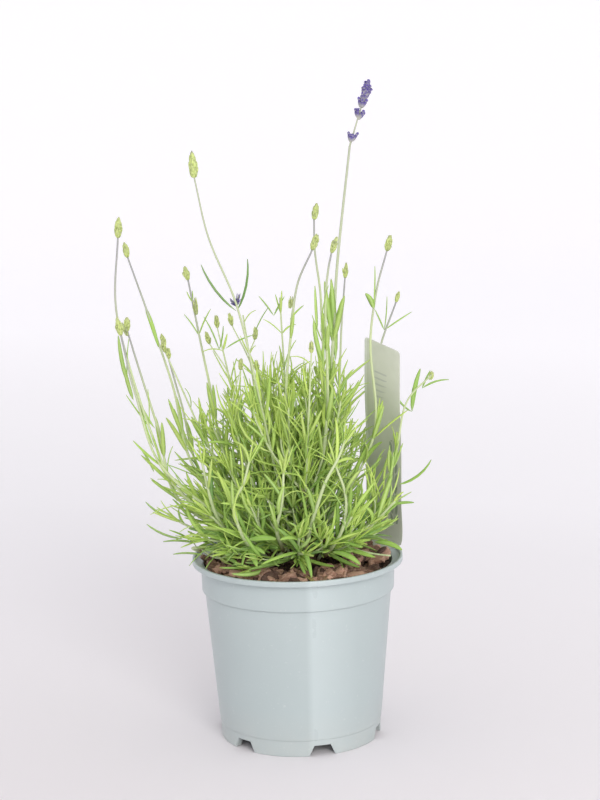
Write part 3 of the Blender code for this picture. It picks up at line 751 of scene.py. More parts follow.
# Leaves of the shoots that are placed one by one: shoot, where the leaf starts and ends, width and curl.
SHOOT_LEAVES = (
    (4, (-11, 14, 261), (-20, 10, 274), 1.2, 0.2),
    (4, (-11, 14, 261), (-4, 20, 272), 1.2, 0.2),
    (2, (-45, 12, 241), (-54, 12, 262), 1.4, 0.3),
    (2, (-45, 12, 241), (-42, 12, 256), 1.3, -0.3),
    (2, (-41, 10, 242), (-24, 10, 250), 1.2, 0.4),
    (3, (-23, 36, 247), (-14, 30, 264), 1.3, 0.3),
    (6, (73, 14, 199), (79, 20, 225), 3.2, 0.5),
    (6, (73, 14, 199), (62, 8, 213), 1.6, -0.7),
    (6, (80, 22, 212), (99, 44, 213), 1.5, 0.5),
    (6, (80, 22, 212), (86, 30, 222), 1.3, 0.2),
    (22, (62, -16, 160), (82, -20, 176), 2.4, -0.9),
    (22, (58, -10, 146), (72, -10, 147), 2.4, 0.4),
    (7, (-70, -8, 139), (-92, -14, 153), 2.6, -0.7),
    (7, (-70, -6, 127), (-92, -10, 138), 2.6, -0.6),
    (7, (-62, -14, 126), (-82, -20, 129), 2.8, 0.5),
    (9, (-58, -20, 120), (-76, -24, 122), 2.6, 0.5),
    (7, (-86, -18, 172), (-94, -20, 188), 2.0, 0.4),
    (16, (3, -48, 129), (7, -66, 116.5), 3.4, 0.7),
    (12, (-30, -48, 136), (-13, -54, 137.5), 4.6, 0.5),
    (12, (-31, -44, 131), (-20, -52, 128), 3.6, 0.7),
    (12, (-31, -44, 131), (-25, -55, 121), 4.4, 0.7),
    (12, (-31, -44, 131), (-34, -56, 122), 3.8, 0.3),
    (12, (-31, -44, 131), (-43, -50, 123), 3.4, 0.8),
    (9, (-50, -22, 127), (-66, -38, 118), 3.2, 0.6),
    (9, (-46, -24, 122), (-56, -44, 117.5), 3.0, 0.7),
    (19, (20, -44, 126), (36, -60, 122), 4.0, 0.8),
    (21, (46, -30, 128), (62, -44, 126), 3.8, 0.7),
)


def placed_leaves(table, number, age):
    """The leaves of one stem or shoot that are placed one by one."""
    return [leaf_to(*leaf, age) for stem, *leaf in table if stem == number]


def stalk_between(start, way, end, radius):
    """A thin stalk that leaves along the way and ends at a point."""
    knees = np.array([start, start + way * np.linalg.norm(np.subtract(end, start)) * 0.35, end])
    path = smooth(knees, 6)
    return tubes(path[None], np.full((1, len(path)), radius), 6, age=0.1, kind=STEM)


def leafy_branch(path, dice, radius, length, width, age, spacing=0.0075):
    """A green stem with its leaf pairs and the tuft at its tip."""
    radii = np.linspace(radius, 0.55 * radius, len(path))[None]
    return [
        tubes(path[None], radii, 6, age=0.1, kind=STEM),
        pairs_on(
            path, dice, start=0.12, stop=0.95, spacing=spacing, low=length, high=0.62 * length,
            open_low=0.75, open_high=0.4, width=width, age=age,
        ),
        tuft_on(path, dice, 0.98, 5, 0.5 * length, 0.7 * width, 0.05),
    ]


def slim_top(path, dice):
    """The bare upper part of a tall shoot: two small leaf pairs a long way apart."""
    radii = np.linspace(0.95 * MM, 0.5 * MM, len(path))[None]
    return [
        tubes(path[None], radii, 7, age=0.1, kind=STEM),
        pairs_on(
            path, dice, start=0.1, stop=0.6, spacing=0.0085, low=0.038, high=0.028,
            open_low=0.6, open_high=0.35, width=2.0 * MM, age=0.3,
        ),
        pairs_on(
            path, dice, start=0.62, stop=0.96, spacing=0.012, low=0.026, high=0.013,
            open_low=0.4, open_high=0.6, width=1.4 * MM, age=0.15,
        ),
    ]


def grow_shoot(number, path, dice):
    """One shoot: its main stem, side branches that bend upwards, leaf pairs, corner tufts and tip tufts."""
    top = path[-1, 2]
    low_shoot = top < LOW_SHOOT_TOP
    age = 0.6 if low_shoot else 0.34
    width = 2.7 * MM if low_shoot else 2.0 * MM
    if number in SLIM_SHOOTS:
        shapes = slim_top(path, dice)
    else:
        shapes = leafy_branch(path, dice, radius=1.2 * MM, length=0.043, width=width, age=age)
    starts = np.concatenate([np.linspace(0.06, 0.3, 3), np.linspace(0.3, 0.62, 2)])
    if number in SLIM_SHOOTS:
        starts = starts[:2 if number == RIGHT_SHOOT else 4]
    for start in starts + dice.uniform(-0.03, 0.03, len(starts)):
        origin, way = place_on(path, start)
        out = fanned(way[None], dice.uniform(0, math.tau, 1))[0]
        lean = dice.uniform(0.35, 0.9)
        leave = unit(math.cos(lean) * way + math.sin(lean) * out)
        length = min((1 - start) * path_length(path) * dice.uniform(0.4, 0.85), 0.095)
        side = branch_path(origin, leave, np.array([0, 0, 1.0]), length, dice.uniform(0.3, 0.9))
        if has_room(side[None, 3:], 0.97)[0]:
            shapes += leafy_branch(side, dice, radius=0.9 * MM, length=0.041, width=width * 0.9, age=age)
    if number in SPRIGS:
        route = smooth(mm(SPRIGS[number]), 4)
        shapes += leafy_branch(
            route, dice, radius=1.25 * MM, length=0.036, width=2.4 * MM, age=0.35, spacing=0.0095
        )
    for share in dice.uniform(0.12, 0.6, 7):
        shapes.append(tuft_on(path, dice, share, count=4, length=0.02, width=2.0 * MM, age=0.25))
    for shoot, share, end, height in SHOOT_BUDS:
        if shoot == number:
            start, way = place_on(path, share)
            end = mm(end)
            shapes.append(stalk_between(start, way, end, 0.42 * MM))
            tip = end + unit(end - start + (0, 0, 20 * MM)) * height * MM
            shapes.append(bud_head(end, tip, 1.7 * MM, dice, rows=3, around=4))
    return join(shapes + placed_leaves(SHOOT_LEAVES, number, 0.6))


leaf_faces = 0
for number, knees in enumerate(SHOOTS, 1):
    name = f"leafy_shoot_{number:02d}"
    route = stem_route(name, shoot_knees(knees))
    shape = grow_shoot(number, route, np.random.default_rng(SHOOT_SEED + number))
    piece_from(name + "_grown", shape, foliage_finish, [name])
    leaf_faces += len(shape.quads) + len(shape.tris)
print("leafy shoots:", len(SHOOTS), "pieces,", leaf_faces, "faces")

# %% [markdown]
# ## Flower stems and their buds
#
# A flower stem is square to the eye but almost round, pale at the bottom and lilac-grey towards its flower
# head. Its lower half is leafy like a shoot. The heads are still shut on all stems but the tallest.

# %% Flower stems
FLOWER_SEED = 90
STEM_THICKNESS = (1.25, 0.85)
DARK_LEAVED_STEM = 2
# Leaves placed one by one: flower stem, where the leaf starts and ends, its width and its curl.
PLACED_LEAVES = (
    (1, (26, 4, 234), (24, 0, 285), 4.2, 0.15),
    (1, (26, 4, 240), (20, -2, 284), 3.4, -0.15),
    (1, (25, 4, 244), (31, 6, 272), 3.2, 0.2),
    (2, (-33, -46, 273), (-53, -52, 302), 2.0, -0.55),
    (2, (-33, -46, 273), (-26, -46, 304), 2.2, -0.6),
    (3, (-98, -50, 233), (-102, -55, 262), 2.6, -0.3),
    (3, (-98, -50, 233), (-96, -52, 260), 2.4, 0.3),
    (3, (-95, -48, 222), (-100, -52, 246), 2.6, -0.2),
    (3, (-84, -42, 192), (-92, -44, 226), 2.4, -0.4),
    (4, (-91, 42, 265), (-83, 34, 240), 2.8, 0.2),
    (5, (-84, -24, 200), (-96, -30, 228), 2.2, -0.4),
    (9, (14, -38, 259), (13, -44, 287), 2.2, -0.3),
    (9, (17, -36, 240), (12, -40, 266), 3.0, -0.4),
    (10, (16, -40, 258), (21, -44, 287), 2.6, 0.3),
    (10, (17, -36, 235), (19, -40, 262), 3.4, 0.2),
    (7, (-58, 44, 245), (-67, 44, 259), 1.3, 0.3),
    (7, (-58, 44, 245), (-50, 44, 262), 1.3, 0.3),
    (8, (-1, 30, 256), (8, 36, 264), 1.3, 0.3),
    (12, (48, -29, 270), (43, -33, 280), 3.6, 0.7),
    (12, (48, -29, 270), (49, -31, 296), 2.4, -0.2),
    (13, (59, 55, 244), (77, 58, 255), 1.2, 0.1),
    (13, (59, 55, 244), (61, 54, 266), 1.3, -0.2),
    (13, (59, 55, 244), (53, 52, 258), 1.2, 0.1),
)
# Small buds in leaf corners: flower stem, where the bud starts and ends, its radius and its age.
CORNER_BUDS = (
    (2, (-33, -46, 276), (-36.5, -46, 280), 1.0, 1.0),
    (2, (-33, -46, 276), (-31.5, -46, 283), 1.0, 1.0),
    (8, (-1, 30, 263), (1, 30, 270), 1.5, 0.1),
    (7, (-59, 46, 258), (-60, 46, 268), 1.7, 0.1),
    (5, (-98, -33, 258), (-100, -34, 266), 1.8, 0.1),
)


def pair_at(path, share, length, width, turn, dice):
    """One pair of leaves at a share of the path."""
    points, ways = along_path(path, np.full(2, share))
    out = fanned(ways, math.radians(turn) + np.array([0, math.pi]))
    way, bend = leaning(ways, out, dice.uniform(0.25, 0.5, 2))
    curl = dice.normal(-0.2, 0.2, 2)
    return blades(points, way, bend, mm([length] * 2), mm([width] * 2), curl, np.array([0.25, 0.3]))


def grow_flower_stem(number, stem, path, dice):
    """The stem, leaf pairs on its lower part, its own upper pairs, and the leaves placed one by one."""
    thick = STEM_THICKNESS[number - 1] if number <= len(STEM_THICKNESS) else 1.0
    radii = np.linspace(1.05 * MM, 0.55 * MM, len(path))[None] * thick
    shapes = [tubes(path[None], radii, 8, age=0.1, kind=STEM)]
    shapes.append(pairs_on(
        path, dice, start=0.1, stop=0.4, spacing=0.011, low=0.036, high=0.028,
        open_low=0.6, open_high=0.35, width=2.4 * MM, age=0.35, spread=1.3,
    ))
    for share, length, width, turn in stem.leaf_pairs:
        shapes.append(pair_at(path, share, length, width, turn, dice))
    shapes += placed_leaves(PLACED_LEAVES, number, 1.0 if number == DARK_LEAVED_STEM else 0.4)
    for bud_stem, base, tip, radius, age in CORNER_BUDS:
        if bud_stem == number:
            shapes.append(bud_head(mm(base), mm(tip), radius * MM, dice, rows=2, around=3, age=age))
    return join(shapes)


for number, stem in enumerate(FLOWER_STEMS, 1):
    name = f"flower_stem_{number:02d}"
    dice = np.random.default_rng(FLOWER_SEED + number)
    shape = grow_flower_stem(number, stem, stem_route(name, stem.knees), dice)
    finish = tall_stem_finish if number <= len(STEM_THICKNESS) else flower_stem_finish
    piece_from(name + "_grown", shape, finish, [name])
    if number > 1:
        base, tip = mm(stem.knees[-1]), mm(stem.tip)
        rows = max(4, round(np.linalg.norm(tip - base) / (2.2 * MM)))
        head = bud_head(base, tip + unit(tip - base) * MM, stem.spike_radius * 0.8 * MM, dice, rows, 6)
        spike = f"flower_spike_{number:02d}"
        piece_from(spike + "_bud", head, bud_finish, [spike])
print("flower stems:", len(FLOWER_STEMS))

# %% [markdown]
# ## The open flower spike
#
# The tallest stem is in flower: one low whorl, one further up, and a head of whorls close together. Each is a
# ring of ribbed grey-violet calyxes, and violet florets push out of some. A floret is five rounded petals.

# %% Violet finish and the spike
VIOLET = (0.13, 0.085, 0.40)
DEEP_VIOLET = (0.06, 0.04, 0.20)
PALE_VIOLET = (0.42, 0.34, 0.66)
CALYX_GREY = (0.55, 0.55, 0.46)


def violet_finish():
    """Violet petals, paler at their rims, on calyxes that run from grey-green to deep violet."""
    skin = Finish("violet_floret", specular_ior_level=0.3, sheen_weight=0.3)
    along, age, kind = skin.tag("along"), skin.tag("age"), skin.tag("kind")
    speck = skin.noise(700, 3)
    petal = skin.mix(along.between(0.1, 0.9), DEEP_VIOLET, VIOLET)
    petal = skin.mix(along.between(0.75, 1.0) * 0.5 + (speck - 0.5) * 0.4, petal, PALE_VIOLET)
    calyx = skin.mix((along + (speck - 0.5) * 0.5).between(0.15, 0.75), CALYX_GREY, DEEP_VIOLET)
    calyx = skin.mix(age * along, calyx, VIOLET)
    stem = skin.mix(speck, PALE_STEM, LILAC_STEM)
    colour = skin.mix(kind.between(0.7, 0.8), skin.mix(kind.between(0.2, 0.3), petal, stem), calyx)
    return skin.paint(colour, 0.5 + speck * 0.3, [(speck, 0.35, 0.0005)])


# Whorls of the open spike: share of its length, calyxes round it, their lean, and how many are in flower.
WHORLS = (
    (0.06, 6, 0.5, 0),
    (0.43, 6, 0.62, 1),
    (0.61, 6, 0.5, 0),
    (0.69, 7, 0.35, 1),
    (0.77, 7, 0.6, 2),
    (0.85, 6, 0.5, 1),
    (0.90, 3, 0.12, 0),
)
CALYX_LENGTH = 5.6 * MM
CALYX_RADIUS = 1.15 * MM
PETALS = 5
PETAL_THICK = 0.2 * MM
SPIKE_SEED = 7


def floret(base, way, dice):
    """Five petals as short broad leaves round the mouth of a calyx."""
    count = len(way) * PETALS
    turn = np.tile(np.arange(PETALS) * math.tau / PETALS + dice.uniform(0, 1), len(way))
    ways = np.repeat(way, PETALS, axis=0)
    way, bend = leaning(ways, fanned(ways, turn), dice.uniform(0.6, 1.2, count))
    return blades(
        np.repeat(base, PETALS, axis=0), way, bend, dice.uniform(1.3, 2.0, count) * MM,
        dice.uniform(1.1, 1.6, count) * MM, dice.uniform(0.2, 0.8, count), np.full(count, 0.5), PETAL_THICK,
    )


def open_spike(base, tip, dice):
    """Whorls of calyxes on a thin axis, with florets on some of them."""
    axis = unit(tip - base)[None]
    length = np.linalg.norm(tip - base)
    path = np.linspace(base, tip - axis[0] * 4 * MM, 8)
    shapes = [tubes(path[None], np.linspace(0.62 * MM, 0.4 * MM, 8)[None], 7, age=0.2, kind=STEM)]
    for place, (share, around, lean, flowering) in enumerate(WHORLS):
        turn = np.arange(around) * math.tau / around + 0.4 * place + dice.normal(0, 0.1, around)
        out = fanned(axis, turn)
        way = leaning(axis, out, lean * 0.75 + dice.normal(0, 0.1, around))[0]
        foot = base + axis * length * share + out * 0.4 * MM
        foot = foot + axis * dice.uniform(-1, 1, around)[:, None] * MM
        size = CALYX_LENGTH * dice.uniform(0.85, 1.1, around) * (1.0 if share < 0.8 else 0.8)
        age = dice.uniform(0.1, 0.7, around)
        shapes.append(capsules(foot, way, size, np.full(around, CALYX_RADIUS), age))
        mouth = foot + way * size[:, None] * 0.72
        bulge, age = dice.uniform(0.3, 0.5, around), dice.uniform(0.6, 1.0, around)
        shapes.append(capsules(mouth, way, size * bulge, np.full(around, MM), age))
        chosen = dice.permutation(around)[:flowering]
        mouth = (foot + way * size[:, None] * 0.9)[chosen]
        shapes.append(floret(mouth + way[chosen] * 0.8 * MM, way[chosen], dice))
    return join(shapes)


tall = FLOWER_STEMS[0]
spike_shape = open_spike(mm(tall.knees[-1]), mm(tall.tip), np.random.default_rng(SPIKE_SEED))
piece_from("flower_spike_01_open", spike_shape, violet_finish(), ["flower_spike_01"])
print("open spike:", len(spike_shape.points), "points")

# %% [markdown]
# ## The pot
#
# A nursery pot is a thin shell with a flared rim, a neck that sits one step out from the wall, and a foot
# ring cut by notches so that water can run out. It could be a turned profile with Boolean cuts. Here the
# closed wall section is carried round the axis on a grid whose columns stand exactly at the notch corners,
# and the foot is squeezed upwards in the notches, which leaves no cut edges to clean.

# %% Pot wall, floor and foot
pot_low, pot_high = (np.array(corner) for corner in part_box("pot"))
POT_HEIGHT = pot_high[2]
RIM_RADIUS = (pot_high[0] - pot_low[0]) / 2
RIM_WIDTH = 1.8 * MM
RIM_DEPTH = 3.4 * MM
NECK_RADIUS = 59.4 * MM
NECK_Z = 93.1 * MM
WALL_TOP_RADIUS = 57.6 * MM
WALL_FOOT_RADIUS = 50.4 * MM
FOOT_Z = 10.5 * MM
FOOT_RADIUS = 49.6 * MM
WALL = 1.2 * MM
FLOOR_Z = 7.4 * MM
NOTCHES = 6
FIRST_NOTCH = math.radians(-76)
NOTCH_FOOT = 16.6 * MM
NOTCH_TOP = 10.3 * MM
NOTCH_HEIGHT = 6.6 * MM
DRAIN_RADIUS = 4.2 * MM
DRAIN_RING = 36 * MM
SECTOR_FIT = 0.9985


def rounded(corners, reach, steps=5):
    """A closed outline with each corner replaced by a quadratic arc that starts and ends a reach away from
    it, or 0.45 of the shorter side where that is less."""
    corners = np.asarray(corners, float)
    before, after = np.roll(corners, 1, axis=0) - corners, np.roll(corners, -1, axis=0) - corners
    near = np.minimum(np.linalg.norm(before, axis=1), np.linalg.norm(after, axis=1)) * 0.45
    reach = np.minimum(reach, near)[:, None]
    start, end = corners + unit(before) * reach, corners + unit(after) * reach
    t = np.linspace(0, 1, steps)[None, :, None]
    arcs = (1 - t) ** 2 * start[:, None] + 2 * t * (1 - t) * corners[:, None] + t**2 * end[:, None]
    return arcs.reshape(-1, 2)


def pot_section():
    """Corners of the wall's closed section as (radius, height), up the inside and down the outside."""
    ledge = POT_HEIGHT - RIM_DEPTH
    rim_inner, neck_inner = RIM_RADIUS - RIM_WIDTH, NECK_RADIUS - WALL
    inside = [
        (FOOT_RADIUS - WALL, 0), (WALL_FOOT_RADIUS - WALL, FOOT_Z), (WALL_TOP_RADIUS - WALL, NECK_Z),
        (neck_inner, NECK_Z + WALL), (neck_inner, ledge + 0.4 * MM), (rim_inner, ledge + WALL),
        (rim_inner, POT_HEIGHT),
    ]
    outside = [
        (RIM_RADIUS, POT_HEIGHT), (RIM_RADIUS, ledge), (NECK_RADIUS + 0.3 * MM, ledge - 0.8 * MM),
        (NECK_RADIUS, NECK_Z + 0.5 * MM), (WALL_TOP_RADIUS, NECK_Z - 0.3 * MM),
        (WALL_FOOT_RADIUS, FOOT_Z), (WALL_FOOT_RADIUS - 0.5 * MM, FOOT_Z - 0.7 * MM), (FOOT_RADIUS, 0),
    ]
    return rounded(inside + outside, 0.6 * MM)


def filled_rows(section, longest):
    """More points on the long straight stretches of a section, so that shading and bending stay even."""
    ends = np.roll(section, -1, axis=0)
    counts = np.maximum(np.ceil(np.linalg.norm(ends - section, axis=1) / longest).astype(int), 1)
    return np.concatenate([np.linspace(a, b, n, endpoint=False) for a, b, n in zip(section, ends, counts)])


def notch_columns():
    """(angle, height of the foot's lower edge) of each column: the notch is a trapezoid."""
    half_foot, half_top = NOTCH_FOOT / 2 / FOOT_RADIUS, NOTCH_TOP / 2 / FOOT_RADIUS
    sector = math.pi / NOTCHES
    easy = np.linspace(half_foot, sector, 12)[:-1]
    side = np.linspace(half_top, half_foot, 5)[:-1]
    half = np.concatenate([np.linspace(0, half_top, 6)[:-1], side, easy])
    angles = np.concatenate([half, [sector], -half[:0:-1]])
    lift = NOTCH_HEIGHT * np.clip((half_foot - np.abs(angles)) / (half_foot - half_top), 0, 1)
    turns = FIRST_NOTCH + np.arange(NOTCHES)[:, None] * math.tau / NOTCHES
    order = np.argsort(angles)
    return (turns + angles[order]).ravel(), np.tile(lift[order], NOTCHES)


def closed_grid(points):
    """A skin over a grid that closes on itself both round its columns and round its rows."""
    rows, cols = points.shape[:2]
    quads = ring_quads(rows, cols, True)[:, OTHER_WAY]
    blank = dict.fromkeys(TAGS, np.zeros(rows * cols))
    return Shape(points.reshape(-1, 3), quads, np.zeros((0, 3), int), blank)


def pot_wall():
    """Section point by column angle. Below the foot's top the heights are pressed up to the notch's edge."""
    section = filled_rows(pot_section(), 4 * MM)
    angles, lift = notch_columns()
    radius, height = section[:, 0][:, None], section[:, 1][:, None]
    squeezed = lift[None] + height * (FOOT_Z - lift[None]) / FOOT_Z
    height = np.where(height < FOOT_Z, squeezed, height)
    return closed_grid(np.stack([radius * np.cos(angles), radius * np.sin(angles), height], -1))


def floor_plate():
    """The floor with its drain holes, in six sectors that stand a hair apart. Each is a grid from the hole's
    circle out to the sector's edge, which a ray from the hole's middle meets at the nearest of two spokes and
    the outer circle."""
    edge, half = WALL_FOOT_RADIUS - 0.6 * WALL, math.pi / NOTCHES
    corner = math.atan2(edge * math.sin(half), edge * math.cos(half) - DRAIN_RING)
    upper = np.concatenate([np.linspace(0, corner, 8)[:-1], np.linspace(corner, math.pi, 12)])
    ray = np.concatenate([upper, -upper[-2:0:-1]])
    cos, sin = np.cos(ray), np.sin(ray)
    to_circle = -DRAIN_RING * cos + np.sqrt((DRAIN_RING * cos) ** 2 - DRAIN_RING**2 + edge**2)
    closing = np.abs(sin) * math.cos(half) - cos * math.sin(half)
    to_spoke = DRAIN_RING * math.sin(half) / np.maximum(closing, 1e-9)
    far = np.minimum(to_circle, np.where(closing > 1e-9, to_spoke, 1.0)) * SECTOR_FIT
    share = np.linspace(0, 1, 5)[:, None]
    reach = DRAIN_RADIUS + share * (far - DRAIN_RADIUS)
    x, y = DRAIN_RING + reach * cos, reach * sin
    top = np.full_like(x, FLOOR_Z + WALL)
    shapes = []
    for k in range(NOTCHES):
        turn = FIRST_NOTCH + (k + 0.5) * math.tau / NOTCHES
        flat = np.stack([*turned(x, y, turn), top], -1)
        low = flat.copy()
        low[..., 2] = FLOOR_Z
        shapes.append(closed_grid(np.concatenate([flat, low[::-1]])))
    return join(shapes)


def foot_flanges():
    """Short webs that stiffen the foot: thin plates that run inwards from both edges of each notch."""
    angles, sides = np.meshgrid(FIRST_NOTCH + np.arange(NOTCHES) * math.tau / NOTCHES, (-1, 1), indexing="ij")
    angles, sides = angles.ravel()[:, None, None], sides.ravel()[:, None, None]
    level = np.array([0.05, 1.0])[None, :, None]
    inward = np.array([0, 0, 4.5, 4.5])[None, None] * MM
    thick = np.array([0, 0.9, 0.9, 0])[None, None] * MM
    half = 0.5 * (NOTCH_FOOT + (NOTCH_TOP - NOTCH_FOOT) * level) + thick
    radius = FOOT_RADIUS - 0.7 * MM - inward
    x = radius + 0 * half + 0 * angles
    y = sides * half + 0 * angles
    z = NOTCH_HEIGHT * 1.15 * level + 0 * x
    rings = np.stack([*turned(x, y, angles), z], -1)
    rings[sides.ravel() < 0] = rings[sides.ravel() < 0][:, :, ::-1]
    return loft(rings, rings[:, 0].mean(1), rings[:, -1].mean(1))


def pot_finish():
    """Satin pale blue-green plastic: faint cloudy colour, a painted highlight as a paler and glossier upright
    streak on the front, fine orange-peel, scuffs, and dust at the foot."""
    skin = Finish("pot_plastic", specular_ior_level=0.45)
    cloud, grain = skin.noise(22, 3), skin.noise(1500, 2)
    drag = skin.noise(1.0, 4, 0.7, skin.stretched(60, 60, 900))
    side, ahead, rise = skin.axis("X"), skin.axis("Y"), skin.axis("Z")
    specks = skin.noise(420, 2).between(0.66, 0.74)
    colour = skin.mix(cloud, (0.435, 0.505, 0.505), (0.470, 0.540, 0.538))
    # Painted highlight: a soft upright band on the pot's front, painted paler and given a lower roughness.
    painted_highlight_streak = side.between(0.003, 0.007) * (1 - side.between(0.009, 0.034)) * (1 - ahead.between(-0.03, 0.0))
    colour = skin.mix(painted_highlight_streak * 0.42, colour, (0.62, 0.70, 0.70))
    dust = (1 - rise.between(0.0, 0.03)) * 0.35 * skin.noise(90, 4)
    colour = skin.mix(dust, colour, (0.62, 0.58, 0.52))
    colour = skin.mix(specks * 0.2, colour, (0.72, 0.74, 0.72))
    colour = skin.mix(drag.between(0.62, 0.8) * 0.18, colour, (0.68, 0.72, 0.71))
    rough = 0.32 + cloud * 0.1 + drag.between(0.6, 0.8) * 0.15 - painted_highlight_streak * 0.1
    return skin.paint(colour, rough, [(grain, 0.08, 0.0003)])


pot = join([pot_wall(), floor_plate(), foot_flanges()])
piece_from("pot_moulded", pot, pot_finish(), ["pot"], 40)
print("pot:", len(pot.quads), "quads, height", round(POT_HEIGHT / MM, 1), "mm")

# %% [markdown]
# ## Soil and bark
#
# The potting soil is dark peat with crumbs, domed a little round the plant, and chips of bark lie on it.
# A displacement modifier could roughen a disc. Here the height is a sum of sine waves in random directions,
# so the crumbs and the chips can be set down on exactly the same surface.

# %% Soil
SOIL_RADIUS = NECK_RADIUS - WALL - 0.3 * MM
SOIL_EDGE_Z = 106.5 * MM
SOIL_RISE = 4.5 * MM
SOIL_FLOOR = 100 * MM
SOIL_RINGS, SOIL_SIDES = 56, 180
SOIL_SEED = 11
soil_dice = np.random.default_rng(SOIL_SEED)
WAVES = 60
WAVE_STEEPNESS = 0.016
WAVE_SHARE = 0.7
wave_way = soil_dice.uniform(0, math.tau, WAVES)
wave_size = np.geomspace(3 * MM, 26 * MM, WAVES)
wave_start = soil_dice.uniform(0, math.tau, WAVES)


def soil_height(x, y):
    """The dome edge + rise * cos(radius), with waves whose height is a fixed share of their length."""
    radius = np.hypot(x, y)
    dome = SOIL_EDGE_Z + SOIL_RISE * np.cos(0.5 * math.pi * np.minimum(radius / NECK_RADIUS, 1))
    turn = math.tau / wave_size
    phase = x[..., None] * np.cos(wave_way) * turn + y[..., None] * np.sin(wave_way) * turn + wave_start
    return dome + (np.sin(phase) * wave_size * WAVE_STEEPNESS).sum(-1) * WAVE_SHARE


def soil_body():
    """A polar grid: out along the underside, up the side, and in over the rough top."""
    angle = np.linspace(0, math.tau, SOIL_SIDES, endpoint=False)[None]
    inner = np.linspace(SOIL_RADIUS, 1.2 * MM, SOIL_RINGS)[:, None]
    x, y = inner * np.cos(angle), inner * np.sin(angle)
    top = np.stack([x, y, soil_height(x, y)], -1)
    foot = top[:1].copy()
    foot[..., 2] = SOIL_FLOOR
    rings = np.concatenate([foot, top])[None]
    centre = np.array([[0.0, 0.0]])
    peak = soil_height(centre[:, 0], centre[:, 1])
    return loft(rings, np.array([[0, 0, SOIL_FLOOR]]), np.array([[0, 0, peak[0]]]))


CRUMB_ROWS, CRUMB_SIDES = 3, 5
CRUMB_SQUASH = 0.7
CRUMB_SINK = 0.2


def lumps(x, y, size, dice):
    """Small uneven crumbs on the soil: rings of a ball, pressed flat, tipped and turned, with each point
    moved in or out at random."""
    count = len(x)
    share = (np.arange(CRUMB_ROWS) + 0.7) / (CRUMB_ROWS + 0.4)
    angle = np.linspace(0, math.tau, CRUMB_SIDES, endpoint=False)
    ring = np.sin(math.pi * share)[:, None]
    level = -np.cos(math.pi * share)[:, None] + 0 * ring * angle
    ball = np.stack([ring * np.cos(angle), ring * np.sin(angle), level], -1)
    uneven = 1 + dice.normal(0, 0.16, (count, CRUMB_ROWS, CRUMB_SIDES, 1))
    points = ball[None] * uneven * (1, 0.7, 1) * size[:, None, None, None]
    points[..., 2] *= CRUMB_SQUASH
    turn, tip = dice.uniform(0, math.tau, count), dice.normal(0, 0.35, count)
    z1, x1 = turned(points[..., 2], points[..., 0], tip[:, None, None])
    x1, y1 = turned(x1, points[..., 1], turn[:, None, None])
    height = soil_height(x, y) + size * CRUMB_SQUASH * (1 - CRUMB_SINK)
    rings = np.stack([x1, y1, z1], -1) + np.stack([x, y, height], -1)[:, None, None]
    age = dice.uniform(0, 1, count)
    return loft(rings, rings[:, 0].mean(1), rings[:, -1].mean(1), age=age[:, None, None])


def soil_finish():
    """Dark damp peat: brown patches, black gaps, and fine fibres."""
    skin = Finish("potting_soil", specular_ior_level=0.25)
    grit, clod = skin.noise(900, 4, 0.7), skin.noise(160, 4)
    colour = skin.mix(clod.between(0.35, 0.7), (0.018, 0.011, 0.007), (0.075, 0.045, 0.028))
    colour = skin.mix(grit.between(0.55, 0.75) * 0.5, colour, (0.16, 0.10, 0.06))
    colour = skin.mix(skin.tag("age") * 0.4, colour, (0.11, 0.062, 0.036))
    return skin.paint(colour, 0.85 + grit * 0.12, [(grit, 0.6, 0.0012), (clod, 0.4, 0.002)])


CRUMBS = 1500
crumb_radius = (SOIL_RADIUS - 1.5 * MM) * np.sqrt(soil_dice.uniform(0.02, 1, CRUMBS))
crumb_turn = soil_dice.uniform(0, math.tau, CRUMBS)
crumbs = lumps(
    crumb_radius * np.cos(crumb_turn), crumb_radius * np.sin(crumb_turn),
    soil_dice.uniform(0.5, 1.9, CRUMBS) * MM, soil_dice,
)
soil = join([soil_body(), crumbs])
piece_from("potting_soil_top", soil, soil_finish(), ["potting_soil"])
print("soil:", len(soil.quads) + len(soil.tris), "faces")

# %% Bark chips
# Bark chips: direction in degrees, distance from the axis, length and width in millimetres.
BARK_CHIPS = (
    (-158, 50, 17, 11),
    (-124, 47, 22, 12),
    (-97, 50, 15, 10),
    (-68, 46, 24, 13),
    (-38, 49, 18, 11),
    (100, 47, 20, 12),
)
CHIP_RINGS = np.array([0.03, 0.16, 0.38, 0.62, 0.84, 0.97])
CHIP_SIDES = 10
CHIP_SEED = 200
MAIN_CHIP_THICK = 3.6 * MM
MAIN_CHIP_LIFT = 2.8 * MM
MAIN_CHIP_TIP, MAIN_CHIP_ROLL = 0.16, 0.3
CHIP_TURN = math.radians(37)
SMALL_CHIPS = 44
LABEL_HEAP, BACK_HEAP = 5, 6


